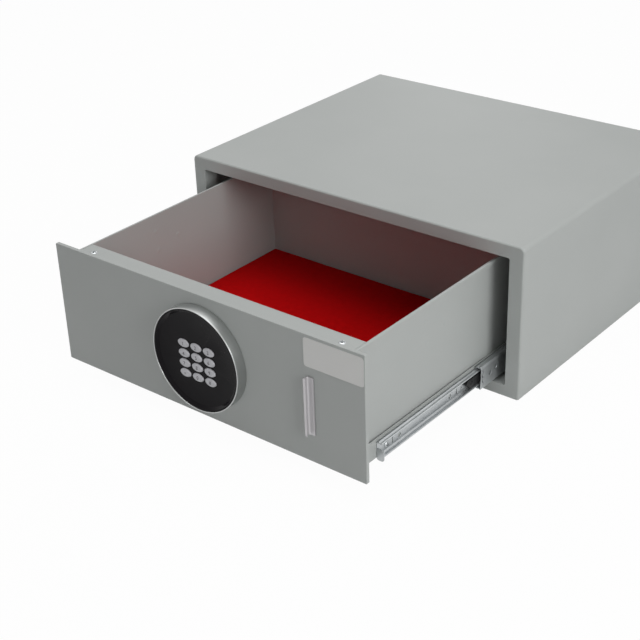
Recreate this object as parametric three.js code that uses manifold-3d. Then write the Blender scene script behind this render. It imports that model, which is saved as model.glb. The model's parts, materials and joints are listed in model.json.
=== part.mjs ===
// An under desk drawer safe: a folded steel case with a drawer on two ball bearing runners.
// Millimetres, +Z up, origin at the centre of the case's base, front of the case towards -Y.
// The drawer is modelled shut and its group is then drawn out to the shown position.

import * as THREE from "three";
import { mergeVertices } from "three/addons/utils/BufferGeometryUtils.js";
import Module from "manifold-3d";

const library = await Module();
library.setup();

// Clearances
const seat = 0.3; // between pieces that are fixed together
const running = 0.3; // between pieces that slide or turn on each other
const overlap = 0.1; // how far welded or moulded-on solids reach into each other
const beyond = 1; // how far a drill or cutter runs past the sheet that it cuts

// Case
const caseWidth = 412;
const caseHeight = 161.3;
const caseDepth = 330;
const caseSheet = 1.5;
const caseTopBend = 5.5; // outer radius of the two long top edges
const caseBaseBend = 2.5; // outer radius of the two long base edges
const caseFrontBend = 2; // outer radius where the sides are folded into the front frame
const bendSteps = 4; // facets of each of its bends
const frameSide = 15.5; // front frame beside the opening
const frameTop = 13.8; // front frame above the opening
const frameBase = 12.5; // front frame below the opening
const frameReturn = 18; // depth of the flange folded into the case round the opening
const frameCorner = 1.5; // radius in the corners of the opening
const backFlange = 12; // depth of the flange round the back plate
const fixingHole = 9; // diameter of the holes for screws or bolts
const baseHoleSpacingX = 300;
const baseHoleSpacingY = 220;
const backHoleSpacing = 240;
const backHoleHeight = 118;

// Position shown
const middleOut = 64.5; // travel of the middle members out of the case
const drawerOut = 149.5; // travel of the drawer out of the middle members

// Drawer panel
const panelGapSide = 3.5; // between its edges and the opening of the case
const panelGapTop = 3.5;
const panelGapBase = 4.5;
const panelSheet = 4;
const panelCorner = 1;
const cableHole = 14; // diameter, behind the keypad

// Drawer tray
const trayRearGap = 34.7; // from its back wall to the back of the case
const traySheet = 1.2;
const trayDrop = 7; // its top edge below the panel's
const trayLift = 9.3; // underside of its floor above the panel's lower edge
const trayBend = 2; // outer bend radius of the walls into the floor
const hemHeight = 4.7;
const hemRound = 0.6;
const trayFlange = 12; // flanges at the open front end, which the panel is screwed to
const earLength = 18; // ears that carry the cover's two screws
const earWidth = 16;
const earInset = 15.6; // centre of an ear from the side wall

// Rails under the tray that carry the runners
const railGap = 1.1; // open gap between the tray's wall and the rail
const railDrop = 8.4; // below the underside of the tray's floor
const railHeight = 20.4;
const railWidth = 18;
const railFoot = 8; // flange under the tray's floor
const railBend = 1.2;

// Mat
const matThickness = 2.7;
const matMargin = 0.7;
const matCorner = 2;

// Lock cover inside the tray
const coverDepth = 26; // from the panel's back to the cover's rear face
const coverFoot = 9; // flange at the foot of its rear wall
const coverBend = 1.5;

// Ball bearing runners
const runnerReach = 21.3; // from the case's inner wall to the back of the outer member
const runnerRearGap = 41.5; // from their rear end to the back of the case
const runnerHeight = 30;
const runnerThickness = 12.7;
const runnerSheet = 1;
const runnerSetback = 38.5; // shut runners start this far behind the case's front
const runnerRise = 9.9; // centre line above the base of the rail
const runnerSeat = 0.1; // between the drawer member and the rail
const middleStep = 1; // shut middle members start this far behind the outer ones
const ballDiameter = 3.2;
const ballPlay = 0.1; // between a ball and its raceway
const webBend = 0.5; // where a web turns into its raceway
const cageSheet = 0.6;
const cageSpace = 2.5; // between the webs of the outer and middle members
const rowStep = 3; // height between the outer and inner rows of balls
const rowOffset = 5.5; // distance between the two rows across the thickness
const outerCageLength = 110;
const outerCageStart = 48; // from the front end of the outer member when shut
const innerCageLength = 80;
const innerCageStart = 82; // from the front end of the middle member when shut
const ballCount = 6; // in each row
const tabDepth = 3; // the drawer member's folded front end stands ahead of the others
const tabWidth = 8.2;
const tabAbove = 2.2;
const tabBelow = 10.8;
const tabSlope = 2; // its upper edge falls this much towards the outside
const tabCorner = 2.5;
const runnerHole = 4.6;
const runnerSlotLength = 6.6;
const runnerSlotWidth = 1.8;

// Places of the holes, behind the front end of each member
const outerHoles = [35, 67];
const outerLastHole = 26; // before the rear end
const middleHoles = [25, 96];
const middleLastHole = 60; // before the rear end
const middleHoleRise = 2.4;
const middleStopHole = 15.5;
const drawerHoles = [13.5, 33];
const drawerSlot = 22.6;
const drawerHoleDrop = 1.6; // of its holes and slots, below the centre line
const leverHole = 20.8; // ahead of the release lever
const leverSlot = 9.8;
const leverSmallHole = 1.6;
const smallHole = 2.4;

// Spring cut free by a zigzag slot at the front end of each middle member, which stops the cage
const springCut = [
  [3.6, 7.6],
  [3.6, 4.8],
  [1.9, 2.2],
  [3.7, -0.6],
  [1.9, -3.4],
  [4.2, -5.6],
  [4.2, -7.6],
];
const springCutWidth = 1.2;

// Brackets between the case's walls and the outer members
const bracketSheet = 1.5;
const bracketAbove = 21.7; // its upper leg above the runner's centre line
const bracketBelow = 20.3;
const bracketFlange = 12;
const bracketFoot = 4.5;
const bracketBend = 1.5;
const bracketEnd = 2; // past each end of the outer member

// Release levers
const leverStart = 133.5; // from the front end of the drawer member
const leverLength = 34;
const leverHeight = 10.8;
const leverThickness = 4.6;
const leverPivot = 3; // diameter of its rivet
const leverPivotPlace = 9; // behind its front end
const leverNose = 3; // length of its bevelled upper front corner
const leverNoseFall = 2;
const leverSlant = 7.4; // length of its slanted lower front corner
const leverSlantTop = 1.5; // the slant starts this far over the centre line
const leverTaper = 20.4; // where it starts to narrow towards its tail
const leverTail = 3.2; // height of the tail

// Pull handle
const handleInset = 62; // its left edge from the panel's right edge
const handleWidth = 7.6;
const handleDrop = 5.5; // its middle below the panel's middle
const handleHeight = 58;
const handleDepth = 7.4;
const handleLip = 4.4;
const handleWall = 1.6;
const handleBend = 1.2;

// Keypad
const keypadX = 2.5;
const keypadRise = 1.5; // its centre above the panel's middle
const keypadRadius = 52;
const keypadDepth = 12;
const keypadFloor = 2;
const keypadWall = 1.3;
const keypadEdge = 0.9; // rounding of the ring's front edge
const keypadChamfer = 0.4; // on its inner edge
const faceFlat = 8.6; // height of the flat black face over the panel
const faceWall = 1.4;
const faceBevel = 2.8; // width of the slope from its rim down to the flat
const faceRim = 11.5; // height of its rim over the panel
const faceRound = 0.5;
const keyColumns = 3;
const keyRows = 4;
const keyPitchX = 15.5;
const keyPitchZ = 10.35;
const keyWidth = 13.3;
const keyHeight = 8.4;
const keyTop = 10; // height of a key's crown over the panel
const keyTravel = 0.8;
const keyCrown = 0.6;
const keyPlay = 0.25; // round a key in its opening
const keySides = 16;
const keyBlockDrop = 3; // the block of keys sits below the centre of the face
const boardThickness = 1.6;
const padThickness = 1.2;
const padPlay = 0.2; // before and behind the rubber pad
const boardMargin = 6; // past the outer keys' places
const boardCorner = 3;

// Bolt work
const boltDiameter = 8;
const boltInset = 36.9; // axis of a bolt from the tray's wall
const boltSetback = 10.5; // axis of a bolt behind the panel's front face
const boltTravel = 12;
const boltWithdrawn = 0.2; // withdrawn bolts end this far above the panel's lower edge
const barHeight = 14;
const barThickness = 3;
const barEnd = 10; // past the axis of each bolt
const barCorner = 2;
const guideWidth = 18;
const guideHeight = 12;
const strikeClearance = 0.7; // round a bolt in the hole of the case's frame

// Drive
const gearModule = 1.25;
const pinionTeeth = 12;
const pinionRise = 22; // its axis above the top of the bolt bar
const rackX = 12; // pitch line of the rack
const rackWidth = 8;
const toothWidth = 1.3; // at the pitch line, thin enough for free running
const toothTip = 0.7;
const toothRoot = 0.5; // the teeth reach this far into the pinion's body
const pinionStep = 0.2; // the pinion stands this far ahead of the rack
const hubDiameter = 6;
const hubLength = 2;
const motorLength = 34;
const motorHeight = 12;
const motorFront = 6; // the motor's case reaches this far past the shaft
const motorGap = 0.5; // between the gearbox and the pinion
const basePlateWidth = 100;
const basePlateRise = 1; // over its seat on the tray's floor
const basePlateDrop = 13; // below the underside of the lock cover
const basePlateSheet = 1.5;
const basePlateCorner = 3;

// Batteries and control board
const batteryDiameter = 14.5;
const batteryLength = 50.5;
const batteryCount = 4;
const batteryPitch = 15.2;
const batteryPlay = 0.2; // beside the first and the last cell
const poleDiameter = 5.6;
const poleHeight = 1.4;
const holderWall = 1.5;
const holderSpace = 12; // from the lock's base plate
const holderDrop = 0.6; // below the cover's ears
const barSpace = 1.8; // between the bolt bar and the holder
const contactSpace = 2.2;
const controlBoardSpace = 16; // from the lock's base plate
const controlBoardRise = 4; // over the top of the bolt bar
const controlBoardWidth = 60;
const controlBoardHeight = 50;
const standoffHeight = 4;
const standoffDiameter = 5;
const standoffInset = 4;
const relayWidth = 16;
const relayHeight = 12;
const relayDepth = 7;
const chipSize = 14;
const chipDepth = 3;
const socketWidth = 20;
const socketHeight = 10;
const socketDepth = 9;
const componentInset = 10; // from the board's edges
const componentGap = 8;

// Finishes
const finish = (colour, roughness, metalness) =>
  new THREE.MeshStandardMaterial({ color: colour, roughness, metalness });
const paintedSteel = finish(0xa6a9a6, 0.55, 0.1);
const zincSteel = finish(0xc3c8c6, 0.35, 0.9);
const brightSteel = finish(0xb9bbba, 0.25, 0.95);
const anodised = finish(0xc0c0be, 0.35, 0.8);
const redFelt = finish(0x8c0005, 0.95, 0);
const glossBlack = finish(0x1d1c1d, 0.12, 0);
const blackPlastic = finish(0x1b1b1c, 0.45, 0);
const silverKey = finish(0xd4d6d4, 0.4, 0.1);
const circuitGreen = finish(0x1f5a35, 0.5, 0);
const greyRubber = finish(0x55585a, 0.8, 0);
const batterySleeve = finish(0x2e4c6d, 0.4, 0.3);

// Turns a closed three.js geometry into a solid that can be joined and cut.
function solidOf(geometry) {
  const bare = geometry.clone();
  bare.deleteAttribute("normal");
  bare.deleteAttribute("uv");
  const merged = mergeVertices(bare, 1e-4);
  return new library.Manifold(
    new library.Mesh({
      numProp: 3,
      vertProperties: new Float32Array(merged.attributes.position.array),
      triVerts: new Uint32Array(merged.index.array),
    }),
  );
}

function geometryOf(solid) {
  const mesh = solid.getMesh();
  const geometry = new THREE.BufferGeometry();
  geometry.setAttribute("position", new THREE.BufferAttribute(mesh.vertProperties, 3));
  geometry.setIndex(new THREE.BufferAttribute(mesh.triVerts, 1));
  geometry.computeVertexNormals();
  return geometry;
}

// The section's two axes and the direction that it is extruded in, for each world axis.
const sectionBasis = {
  x: [new THREE.Vector3(0, 1, 0), new THREE.Vector3(0, 0, 1), new THREE.Vector3(1, 0, 0)],
  y: [new THREE.Vector3(1, 0, 0), new THREE.Vector3(0, 0, 1), new THREE.Vector3(0, -1, 0)],
  z: [new THREE.Vector3(1, 0, 0), new THREE.Vector3(0, 1, 0), new THREE.Vector3(0, 0, 1)],
};

// Extrudes an outline, given in the two other axes, from one place to another along an axis.
function extruded(axis, outline, from, to, holes = []) {
  const shape = new THREE.Shape(outline.map(([a, b]) => new THREE.Vector2(a, b)));
  shape.holes = holes.map((hole) => new THREE.Path(hole.map(([a, b]) => new THREE.Vector2(a, b))));
  const geometry = new THREE.ExtrudeGeometry(shape, { depth: to - from, bevelEnabled: false });
  geometry.applyMatrix4(new THREE.Matrix4().makeBasis(...sectionBasis[axis]));
  const start = axis === "y" ? to : from;
  geometry.translate(axis === "x" ? start : 0, axis === "y" ? start : 0, axis === "z" ? start : 0);
  return solidOf(geometry);
}

function block(x0, x1, y0, y1, z0, z1) {
  const geometry = new THREE.BoxGeometry(x1 - x0, y1 - y0, z1 - z0);
  geometry.translate((x0 + x1) / 2, (y0 + y1) / 2, (z0 + z1) / 2);
  return solidOf(geometry);
}

// A round bar along an axis, centred on (a, b) of the two other axes.
function rod(axis, radius, a, b, from, to, sides = 24) {
  return extruded(axis, circle(a, b, radius, sides), from, to);
}

function arc(cx, cy, radius, fromDegrees, toDegrees, steps) {
  const points = [];
  for (let i = 0; i <= steps; i += 1) {
    const angle = THREE.MathUtils.degToRad(fromDegrees + ((toDegrees - fromDegrees) * i) / steps);
    points.push([cx + radius * Math.cos(angle), cy + radius * Math.sin(angle)]);
  }
  return points;
}

function circle(cx, cy, radius, sides) {
  return arc(cx, cy, radius, 0, 360, sides).slice(0, sides);
}

function ellipse(cx, cy, radiusX, radiusY, sides) {
  return circle(0, 0, 1, sides).map(([x, y]) => [cx + radiusX * x, cy + radiusY * y]);
}

// A rectangle with its own radius at the two upper and the two lower corners.
function roundedRectangle(x0, x1, y0, y1, lower, upper, steps = 5) {
  return [
    ...arc(x0 + lower, y0 + lower, lower, 180, 270, steps),
    ...arc(x1 - lower, y0 + lower, lower, 270, 360, steps),
    ...arc(x1 - upper, y1 - upper, upper, 0, 90, steps),
    ...arc(x0 + upper, y1 - upper, upper, 90, 180, steps),
  ];
}

// Rounds the corners of an open line, as a press brake rounds a fold.
function rounded(line, radius, steps = 3) {
  const points = [line[0]];
  for (let i = 1; i < line.length - 1; i += 1) {
    const corner = new THREE.Vector2(...line[i]);
    const before = new THREE.Vector2(...line[i - 1]).sub(corner).normalize();
    const after = new THREE.Vector2(...line[i + 1]).sub(corner).normalize();
    const half = Math.acos(THREE.MathUtils.clamp(before.dot(after), -1, 1)) / 2;
    const start = corner.clone().addScaledVector(before, radius / Math.tan(half));
    const end = corner.clone().addScaledVector(after, radius / Math.tan(half));
    for (let k = 0; k <= steps; k += 1) {
      const t = k / steps;
      const a = start.clone().lerp(corner, t);
      const b = corner.clone().lerp(end, t);
      const point = a.lerp(b, t);
      points.push([point.x, point.y]);
    }
  }
  points.push(line[line.length - 1]);
  return points;
}

// The outline of a sheet of one thickness that follows a line through its middle.
function sheetOutline(line, thickness) {
  const points = line.map(([a, b]) => new THREE.Vector2(a, b));
  const left = [];
  const right = [];
  points.forEach((point, i) => {
    const before = i > 0 ? point.clone().sub(points[i - 1]).normalize() : null;
    const after = i < points.length - 1 ? points[i + 1].clone().sub(point).normalize() : null;
    const direction = (before && after ? before.clone().add(after) : before || after).normalize();
    const stretch = before && after ? 1 / direction.dot(after) : 1;
    const offset = new THREE.Vector2(-direction.y, direction.x);
    offset.multiplyScalar((thickness / 2) * stretch);
    left.push([point.x + offset.x, point.y + offset.y]);
    right.push([point.x - offset.x, point.y - offset.y]);
  });
  return [...left, ...right.reverse()];
}

// Revolves a closed profile of [radius, height in front of the panel] about the keypad's axis.
function turned(profile, segments = 52) {
  const points = [...profile, profile[0]].map(([radius, height]) => new THREE.Vector2(radius, height));
  const geometry = new THREE.LatheGeometry(points, segments);
  geometry.rotateX(Math.PI);
  return solidOf(geometry).translate([keypadX, panelFront, keypadZ]);
}

// A solid that bulges everywhere, through outlines at places along the depth.
function lofted(sections) {
  const points = sections.flatMap(([y, outline]) => outline.map(([x, z]) => [x, y, z]));
  return library.Manifold.hull(points);
}

function joined(solids) {
  return solids.reduce((whole, piece) => whole.add(piece));
}

function cut(solid, tools) {
  return tools.reduce((whole, tool) => whole.subtract(tool), solid);
}

function piece(group, name, solid, material) {
  const mesh = new THREE.Mesh(geometryOf(solid), material);
  mesh.name = name;
  group.add(mesh);
  return mesh;
}

const sides = [
  ["left", -1],
  ["right", 1],
];

// Mirrors an outline to the side that is asked for.
function onSide(sign, outline) {
  return outline.map(([x, z]) => [sign * x, z]);
}

// The two ends of a stretch across the drawer, lower one first, on the side that is asked for.
function across(sign, near, far) {
  return sign > 0 ? [near, far] : [-far, -near];
}

// Places shared by more than one piece, with the drawer shut
const caseFront = -caseDepth / 2;
const caseBack = caseDepth / 2;
const caseInside = caseWidth / 2 - caseSheet;
const openingHalf = caseWidth / 2 - frameSide;
const openingTop = caseHeight - frameTop;
const panelHalf = openingHalf - panelGapSide;
const panelBase = frameBase + panelGapBase;
const panelTop = openingTop - panelGapTop;
const panelMiddle = (panelBase + panelTop) / 2;
const panelFront = caseFront;
const panelBack = panelFront + panelSheet;
const runnerOuter = caseInside - runnerReach;
const runnerInner = runnerOuter - runnerThickness;
const railOuter = runnerInner - runnerSeat;
const trayOuter = railOuter - traySheet - railGap;
const trayInner = trayOuter - traySheet;
const trayFront = panelBack + seat;
const trayBack = caseBack - trayRearGap;
const trayTop = panelTop - trayDrop;
const trayFloor = panelBase + trayLift;
const floorTop = trayFloor + traySheet;
const railBase = trayFloor - railDrop;
const runnerCentre = railBase + runnerRise;
const runnerFront = caseFront + runnerSetback;
const runnerLength = caseDepth - runnerSetback - runnerRearGap;
const coverRear = panelBack + coverDepth;
const earTop = trayTop - traySheet - seat;
const keypadZ = panelMiddle + keypadRise;
const holderWidth = batteryPitch * batteryCount + 2 * (holderWall + batteryPlay);
const holderHeight = batteryLength + 2 * contactSpace + 2 * holderWall;
const holderX = basePlateWidth / 2 + holderSpace;
const holderZ = earTop - traySheet - holderDrop - holderHeight;
const boltY = panelFront + boltSetback;
const boltXs = [-trayInner + boltInset, trayInner - boltInset];
const boltBase = panelBase + boltWithdrawn;
const boltTop = holderZ - barSpace;
const barFront = boltY + boltDiameter / 2 + seat;
const pinionZ = boltTop + pinionRise;

const part = new THREE.Group();
const caseGroup = new THREE.Group();
const middleGroup = new THREE.Group();
const outerCageGroup = new THREE.Group();
const innerCageGroup = new THREE.Group();
const drawerGroup = new THREE.Group();
part.add(caseGroup, middleGroup, outerCageGroup, innerCageGroup, drawerGroup);
middleGroup.position.y = -middleOut;
outerCageGroup.position.y = -middleOut / 2;
innerCageGroup.position.y = -middleOut - drawerOut / 2;
drawerGroup.position.y = -middleOut - drawerOut;

// Case shell: one wrapper of sheet, folded in round the front opening
function caseShell() {
  const half = caseWidth / 2;
  const outside = roundedRectangle(
    -half,
    half,
    0,
    caseHeight,
    caseBaseBend,
    caseTopBend,
    bendSteps,
  );
  const rings = arc(caseFrontBend, 0, caseFrontBend, 180, 90, 3).map(([behind, out]) => {
    const inset = caseFrontBend - out;
    return [
      caseFront + behind,
      roundedRectangle(
        -half + inset,
        half - inset,
        inset,
        caseHeight - inset,
        caseBaseBend - inset,
        caseTopBend - inset,
        bendSteps,
      ),
    ];
  });
  const inside = roundedRectangle(
    -caseInside,
    caseInside,
    caseSheet,
    caseHeight - caseSheet,
    caseBaseBend - caseSheet,
    caseTopBend - caseSheet,
    bendSteps,
  );
  const opening = roundedRectangle(
    -openingHalf,
    openingHalf,
    frameBase,
    openingTop,
    frameCorner,
    frameCorner,
    2,
  );
  const around = roundedRectangle(
    -openingHalf - caseSheet,
    openingHalf + caseSheet,
    frameBase - caseSheet,
    openingTop + caseSheet,
    frameCorner + caseSheet,
    frameCorner + caseSheet,
    2,
  );
  const wrapper = lofted([...rings, [caseBack, outside]]);
  const hollow = extruded("y", inside, caseFront + caseSheet, caseBack + beyond);
  const mouth = extruded("y", opening, caseFront - beyond, caseFront + caseSheet + beyond);
  const flange = extruded("y", around, caseFront, caseFront + frameReturn, [opening]);
  const holes = [];
  for (const x of [-baseHoleSpacingX / 2, baseHoleSpacingX / 2]) {
    for (const y of [-baseHoleSpacingY / 2, baseHoleSpacingY / 2]) {
      holes.push(rod("z", fixingHole / 2, x, y, -beyond, caseSheet + beyond));
    }
  }
  const strike = boltDiameter / 2 + strikeClearance;
  for (const x of boltXs) {
    holes.push(rod("z", strike, x, boltY, caseSheet + beyond, frameBase + beyond));
  }
  return cut(joined([cut(wrapper, [hollow, mouth]), flange]), holes);
}
piece(caseGroup, "case_shell", caseShell(), paintedSteel);

// Back plate: a shallow pan set into the open back of the shell
function backPlate() {
  const half = caseInside - seat;
  const base = caseSheet + seat;
  const top = caseHeight - caseSheet - seat;
  const corner = caseTopBend - caseSheet;
  const outer = roundedRectangle(
    -half,
    half,
    base,
    top,
    caseBaseBend - caseSheet,
    corner,
    bendSteps,
  );
  const inner = roundedRectangle(
    -half + caseSheet,
    half - caseSheet,
    base + caseSheet,
    top - caseSheet,
    caseBaseBend - caseSheet,
    corner - caseSheet,
    bendSteps,
  );
  const plate = extruded("y", outer, caseBack - caseSheet, caseBack);
  const flange = extruded("y", outer, caseBack - backFlange, caseBack, [inner]);
  const holes = [-backHoleSpacing / 2, backHoleSpacing / 2].map((x) =>
    rod("y", fixingHole / 2, x, backHoleHeight, caseBack - caseSheet - beyond, caseBack + beyond),
  );
  return cut(joined([plate, flange]), holes);
}
piece(caseGroup, "case_back", backPlate(), paintedSteel);

// Runner brackets: hat sections that carry the outer members clear of the case's walls
for (const [side, sign] of sides) {
  const wall = caseInside - seat - bracketSheet / 2;
  const web = runnerOuter + seat + bracketSheet / 2;
  const upper = runnerCentre + bracketAbove;
  const lower = runnerCentre - bracketBelow;
  const line = [
    [wall, upper + bracketFlange],
    [wall, upper],
    [web, upper],
    [web, lower],
    [wall, lower],
    [wall, lower - bracketFoot],
  ];
  const outline = onSide(sign, sheetOutline(rounded(line, bracketBend), bracketSheet));
  const rear = runnerFront + runnerLength + bracketEnd;
  const solid = extruded("y", outline, runnerFront - bracketEnd, rear);
  piece(caseGroup, `runner_bracket_${side}`, solid, zincSteel);
}

// Runner sections: half of the middle line of each sheet, from the web's centre to the upper edge.
// The first value is the distance from the drawer's side, the second the height over the centre.
const raceway = ballDiameter / 2 + ballPlay + runnerSheet / 2;
const outerBall = [
  runnerThickness - runnerSheet / 2 - raceway,
  runnerHeight / 2 - runnerSheet / 2 - raceway,
];
const innerBall = [outerBall[0] - rowOffset, outerBall[1] - rowStep];
const middleWeb = runnerThickness - runnerSheet - cageSpace - runnerSheet / 2;
const innerWeb = runnerSheet / 2;
const outerHalf = [[runnerThickness - runnerSheet / 2, 0], ...arc(...outerBall, raceway, 0, 150, 6)];
const middleHalf = [
  [middleWeb, 0],
  [middleWeb, outerBall[1] - raceway - 2 * webBend],
  ...arc(...outerBall, raceway, -125, -165, 2),
  ...arc(...innerBall, raceway, 50, 165, 5),
];
const drawerHalf = [
  [innerWeb, 0],
  [innerWeb, innerBall[1] - raceway - webBend],
  ...arc(...innerBall, raceway, -150, -40, 5),
];

// The whole section of a member, on one side of the drawer
function runnerSection(sign, half, thickness = runnerSheet) {
  const below = half.slice(1).reverse();
  const line = [...below.map(([u, v]) => [u, -v]), ...half.slice(1)];
  const placed = line.map(([u, v]) => [runnerInner + u, runnerCentre + v]);
  return onSide(sign, sheetOutline(placed, thickness));
}

// Holes through a web, at distances behind the front end of the member
function webHoles(sign, front, places, height = 0, diameter = runnerHole) {
  const [from, to] = across(sign, runnerInner - beyond, runnerOuter + beyond);
  return places.map((place) =>
    rod("x", diameter / 2, front + place, runnerCentre + height, from, to, 12),
  );
}

function webSlots(sign, front, places, height) {
  const [from, to] = across(sign, runnerInner - beyond, runnerOuter + beyond);
  const low = runnerCentre + height - runnerSlotLength / 2;
  const wide = runnerSlotWidth / 2;
  return places.map((place) =>
    block(from, to, front + place - wide, front + place + wide, low, low + runnerSlotLength),
  );
}

// Outer members, fixed to the brackets
for (const [side, sign] of sides) {
  const bar = extruded("y", runnerSection(sign, outerHalf), runnerFront, runnerFront + runnerLength);
  const solid = cut(bar, webHoles(sign, runnerFront, [...outerHoles, runnerLength - outerLastHole]));
  piece(caseGroup, `outer_runner_${side}`, solid, zincSteel);
}

// Middle members
for (const [side, sign] of sides) {
  const start = runnerFront + middleStep;
  const bar = extruded("y", runnerSection(sign, middleHalf), start, start + runnerLength);
  const [from, to] = across(sign, runnerInner + middleWeb - beyond, runnerOuter + beyond);
  const zigzag = springCut.map(([behind, height]) => [start + behind, runnerCentre + height]);
  const solid = cut(bar, [
    extruded("x", sheetOutline(zigzag, springCutWidth), from, to),
    ...webHoles(sign, start, [...middleHoles, runnerLength - middleLastHole], middleHoleRise),
    ...webHoles(sign, start, [middleStopHole]),
  ]);
  piece(middleGroup, `middle_runner_${side}`, solid, zincSteel);
}

// Drawer members, each with its front end folded out as a stop
const tabFront = runnerFront - tabDepth;
for (const [side, sign] of sides) {
  const bar = extruded("y", runnerSection(sign, drawerHalf), tabFront, tabFront + runnerLength);
  const tabLow = runnerCentre - tabBelow + tabCorner;
  const tab = [
    [runnerInner, runnerCentre + tabAbove],
    ...arc(runnerInner + tabCorner, tabLow, tabCorner, 180, 270, 3),
    ...arc(runnerInner + tabWidth - tabCorner, tabLow, tabCorner, 270, 360, 3),
    [runnerInner + tabWidth, runnerCentre + tabAbove - tabSlope],
  ];
  const stop = extruded("y", onSide(sign, tab), tabFront, tabFront + runnerSheet);
  const rivetEnd = runnerInner + runnerSheet + running + leverThickness;
  const rivet = rod(
    "x",
    leverPivot / 2,
    tabFront + leverStart + leverPivotPlace,
    runnerCentre,
    ...across(sign, runnerInner, rivetEnd),
    12,
  );
  const solid = cut(joined([bar, stop, rivet]), [
    ...webHoles(sign, tabFront, [...drawerHoles, leverStart - leverHole], -drawerHoleDrop),
    ...webHoles(sign, tabFront, [leverStart - leverSmallHole], -drawerHoleDrop, smallHole),
    ...webSlots(sign, tabFront, [drawerSlot, leverStart - leverSlot], -drawerHoleDrop),
  ]);
  piece(drawerGroup, `drawer_runner_${side}`, solid, zincSteel);
}

// Ball cages: a channel of thin sheet with the two rows of balls that it carries
function ballCage(sign, web, ball, start, length) {
  const line = [
    [ball[0], ball[1]],
    [web, ball[1]],
  ];
  const section = [...line.map(([u, v]) => [u, -v]), ...line.reverse()];
  const placed = section.map(([u, v]) => [runnerInner + u, runnerCentre + v]);
  const outline = onSide(sign, sheetOutline(placed, cageSheet));
  const strip = extruded("y", outline, start, start + length);
  const balls = [];
  const pitch = length / ballCount;
  for (let i = 0; i < ballCount; i += 1) {
    for (const v of [-ball[1], ball[1]]) {
      const geometry = new THREE.SphereGeometry(ballDiameter / 2, 6, 4);
      geometry.translate(sign * (runnerInner + ball[0]), start + (i + 0.5) * pitch, runnerCentre + v);
      balls.push(solidOf(geometry));
    }
  }
  return joined([strip, ...balls]);
}
for (const [side, sign] of sides) {
  const outerWeb = runnerThickness - runnerSheet - cageSpace / 2;
  const outerStart = runnerFront + outerCageStart;
  const outerCage = ballCage(sign, outerWeb, outerBall, outerStart, outerCageLength);
  piece(outerCageGroup, `outer_ball_cage_${side}`, outerCage, brightSteel);
  const innerWebPlace = middleWeb - runnerSheet / 2 - running - cageSheet;
  const innerStart = runnerFront + middleStep + innerCageStart;
  const innerCage = ballCage(sign, innerWebPlace, innerBall, innerStart, innerCageLength);
  piece(innerCageGroup, `inner_ball_cage_${side}`, innerCage, brightSteel);
}

// Release levers: moulded levers on a rivet in the drawer members
for (const [side, sign] of sides) {
  const near = runnerInner + runnerSheet + running;
  const [from, to] = across(sign, near, near + leverThickness);
  const start = tabFront + leverStart;
  const half = leverHeight / 2;
  const outline = [
    [start, runnerCentre + leverSlantTop],
    [start + leverSlant, runnerCentre - half],
    [start + leverTaper, runnerCentre - half],
    [start + leverLength, runnerCentre - leverTail / 2],
    [start + leverLength, runnerCentre + leverTail / 2],
    [start + leverTaper, runnerCentre + half],
    [start + leverNose, runnerCentre + half],
    [start, runnerCentre + half - leverNoseFall],
  ];
  const bore = circle(start + leverPivotPlace, runnerCentre, leverPivot / 2 + running, 16);
  const lever = extruded("x", outline, from, to, [bore]);
  piece(drawerGroup, `release_lever_${side}`, lever, blackPlastic);
}

// Tray: floor, two side walls with hems folded outwards, and a back wall
function tray() {
  const wall = trayOuter - traySheet / 2;
  const floor = trayFloor + traySheet / 2;
  const profile = [
    [-wall, trayTop],
    [-wall, floor],
    [wall, floor],
    [wall, trayTop],
  ];
  const trough = extruded("y", sheetOutline(rounded(profile, trayBend), traySheet), trayFront, trayBack);
  const parts = [trough];
  for (const [, sign] of sides) {
    const hem = onSide(sign, [
      [trayOuter - overlap, trayTop - hemHeight],
      [trayOuter + traySheet, trayTop - hemHeight],
      [trayOuter + traySheet, trayTop - hemRound],
      [trayOuter + traySheet - hemRound, trayTop],
      [trayOuter - overlap, trayTop],
    ]);
    parts.push(extruded("y", hem, trayFront, trayBack + traySheet));
    const flange = across(sign, trayInner - trayFlange, trayInner + overlap);
    parts.push(block(...flange, trayFront, trayFront + traySheet, floorTop - overlap, earTop));
    const ear = across(sign, trayInner - earInset - earWidth / 2, trayInner + overlap);
    parts.push(block(...ear, trayFront, trayFront + earLength, earTop - traySheet, earTop));
  }
  parts.push(block(-trayOuter, trayOuter, trayBack - traySheet, trayBack, trayFloor, trayTop));
  parts.push(
    block(-trayOuter, trayOuter, trayBack - overlap, trayBack + traySheet, trayTop - hemHeight, trayTop),
  );
  const passage = boltDiameter / 2 + strikeClearance;
  const passages = boltXs.map((x) => rod("z", passage, x, boltY, 0, floorTop + beyond));
  return cut(joined(parts), passages);
}
piece(drawerGroup, "drawer_tray", tray(), paintedSteel);

// Rails: channels welded under the tray's floor, whose outer legs carry the runners
for (const [side, sign] of sides) {
  const outer = railOuter - traySheet / 2;
  const inner = outer - railWidth;
  const base = railBase + traySheet / 2;
  const foot = trayFloor - seat - traySheet / 2;
  const line = [
    [outer, railBase + railHeight],
    [outer, base],
    [inner, base],
    [inner, foot],
    [inner - railFoot, foot],
  ];
  const outline = onSide(sign, sheetOutline(rounded(line, railBend), traySheet));
  piece(drawerGroup, `drawer_rail_${side}`, extruded("y", outline, trayFront, trayBack), paintedSteel);
}

// Mat on the tray's floor
const matHalf = trayInner - matMargin;
const matOutline = roundedRectangle(
  -matHalf,
  matHalf,
  coverRear + matMargin,
  trayBack - traySheet - matMargin,
  matCorner,
  matCorner,
  2,
);
const mat = extruded("z", matOutline, floorTop + seat, floorTop + seat + matThickness);
piece(drawerGroup, "floor_mat", mat, redFelt);

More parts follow.
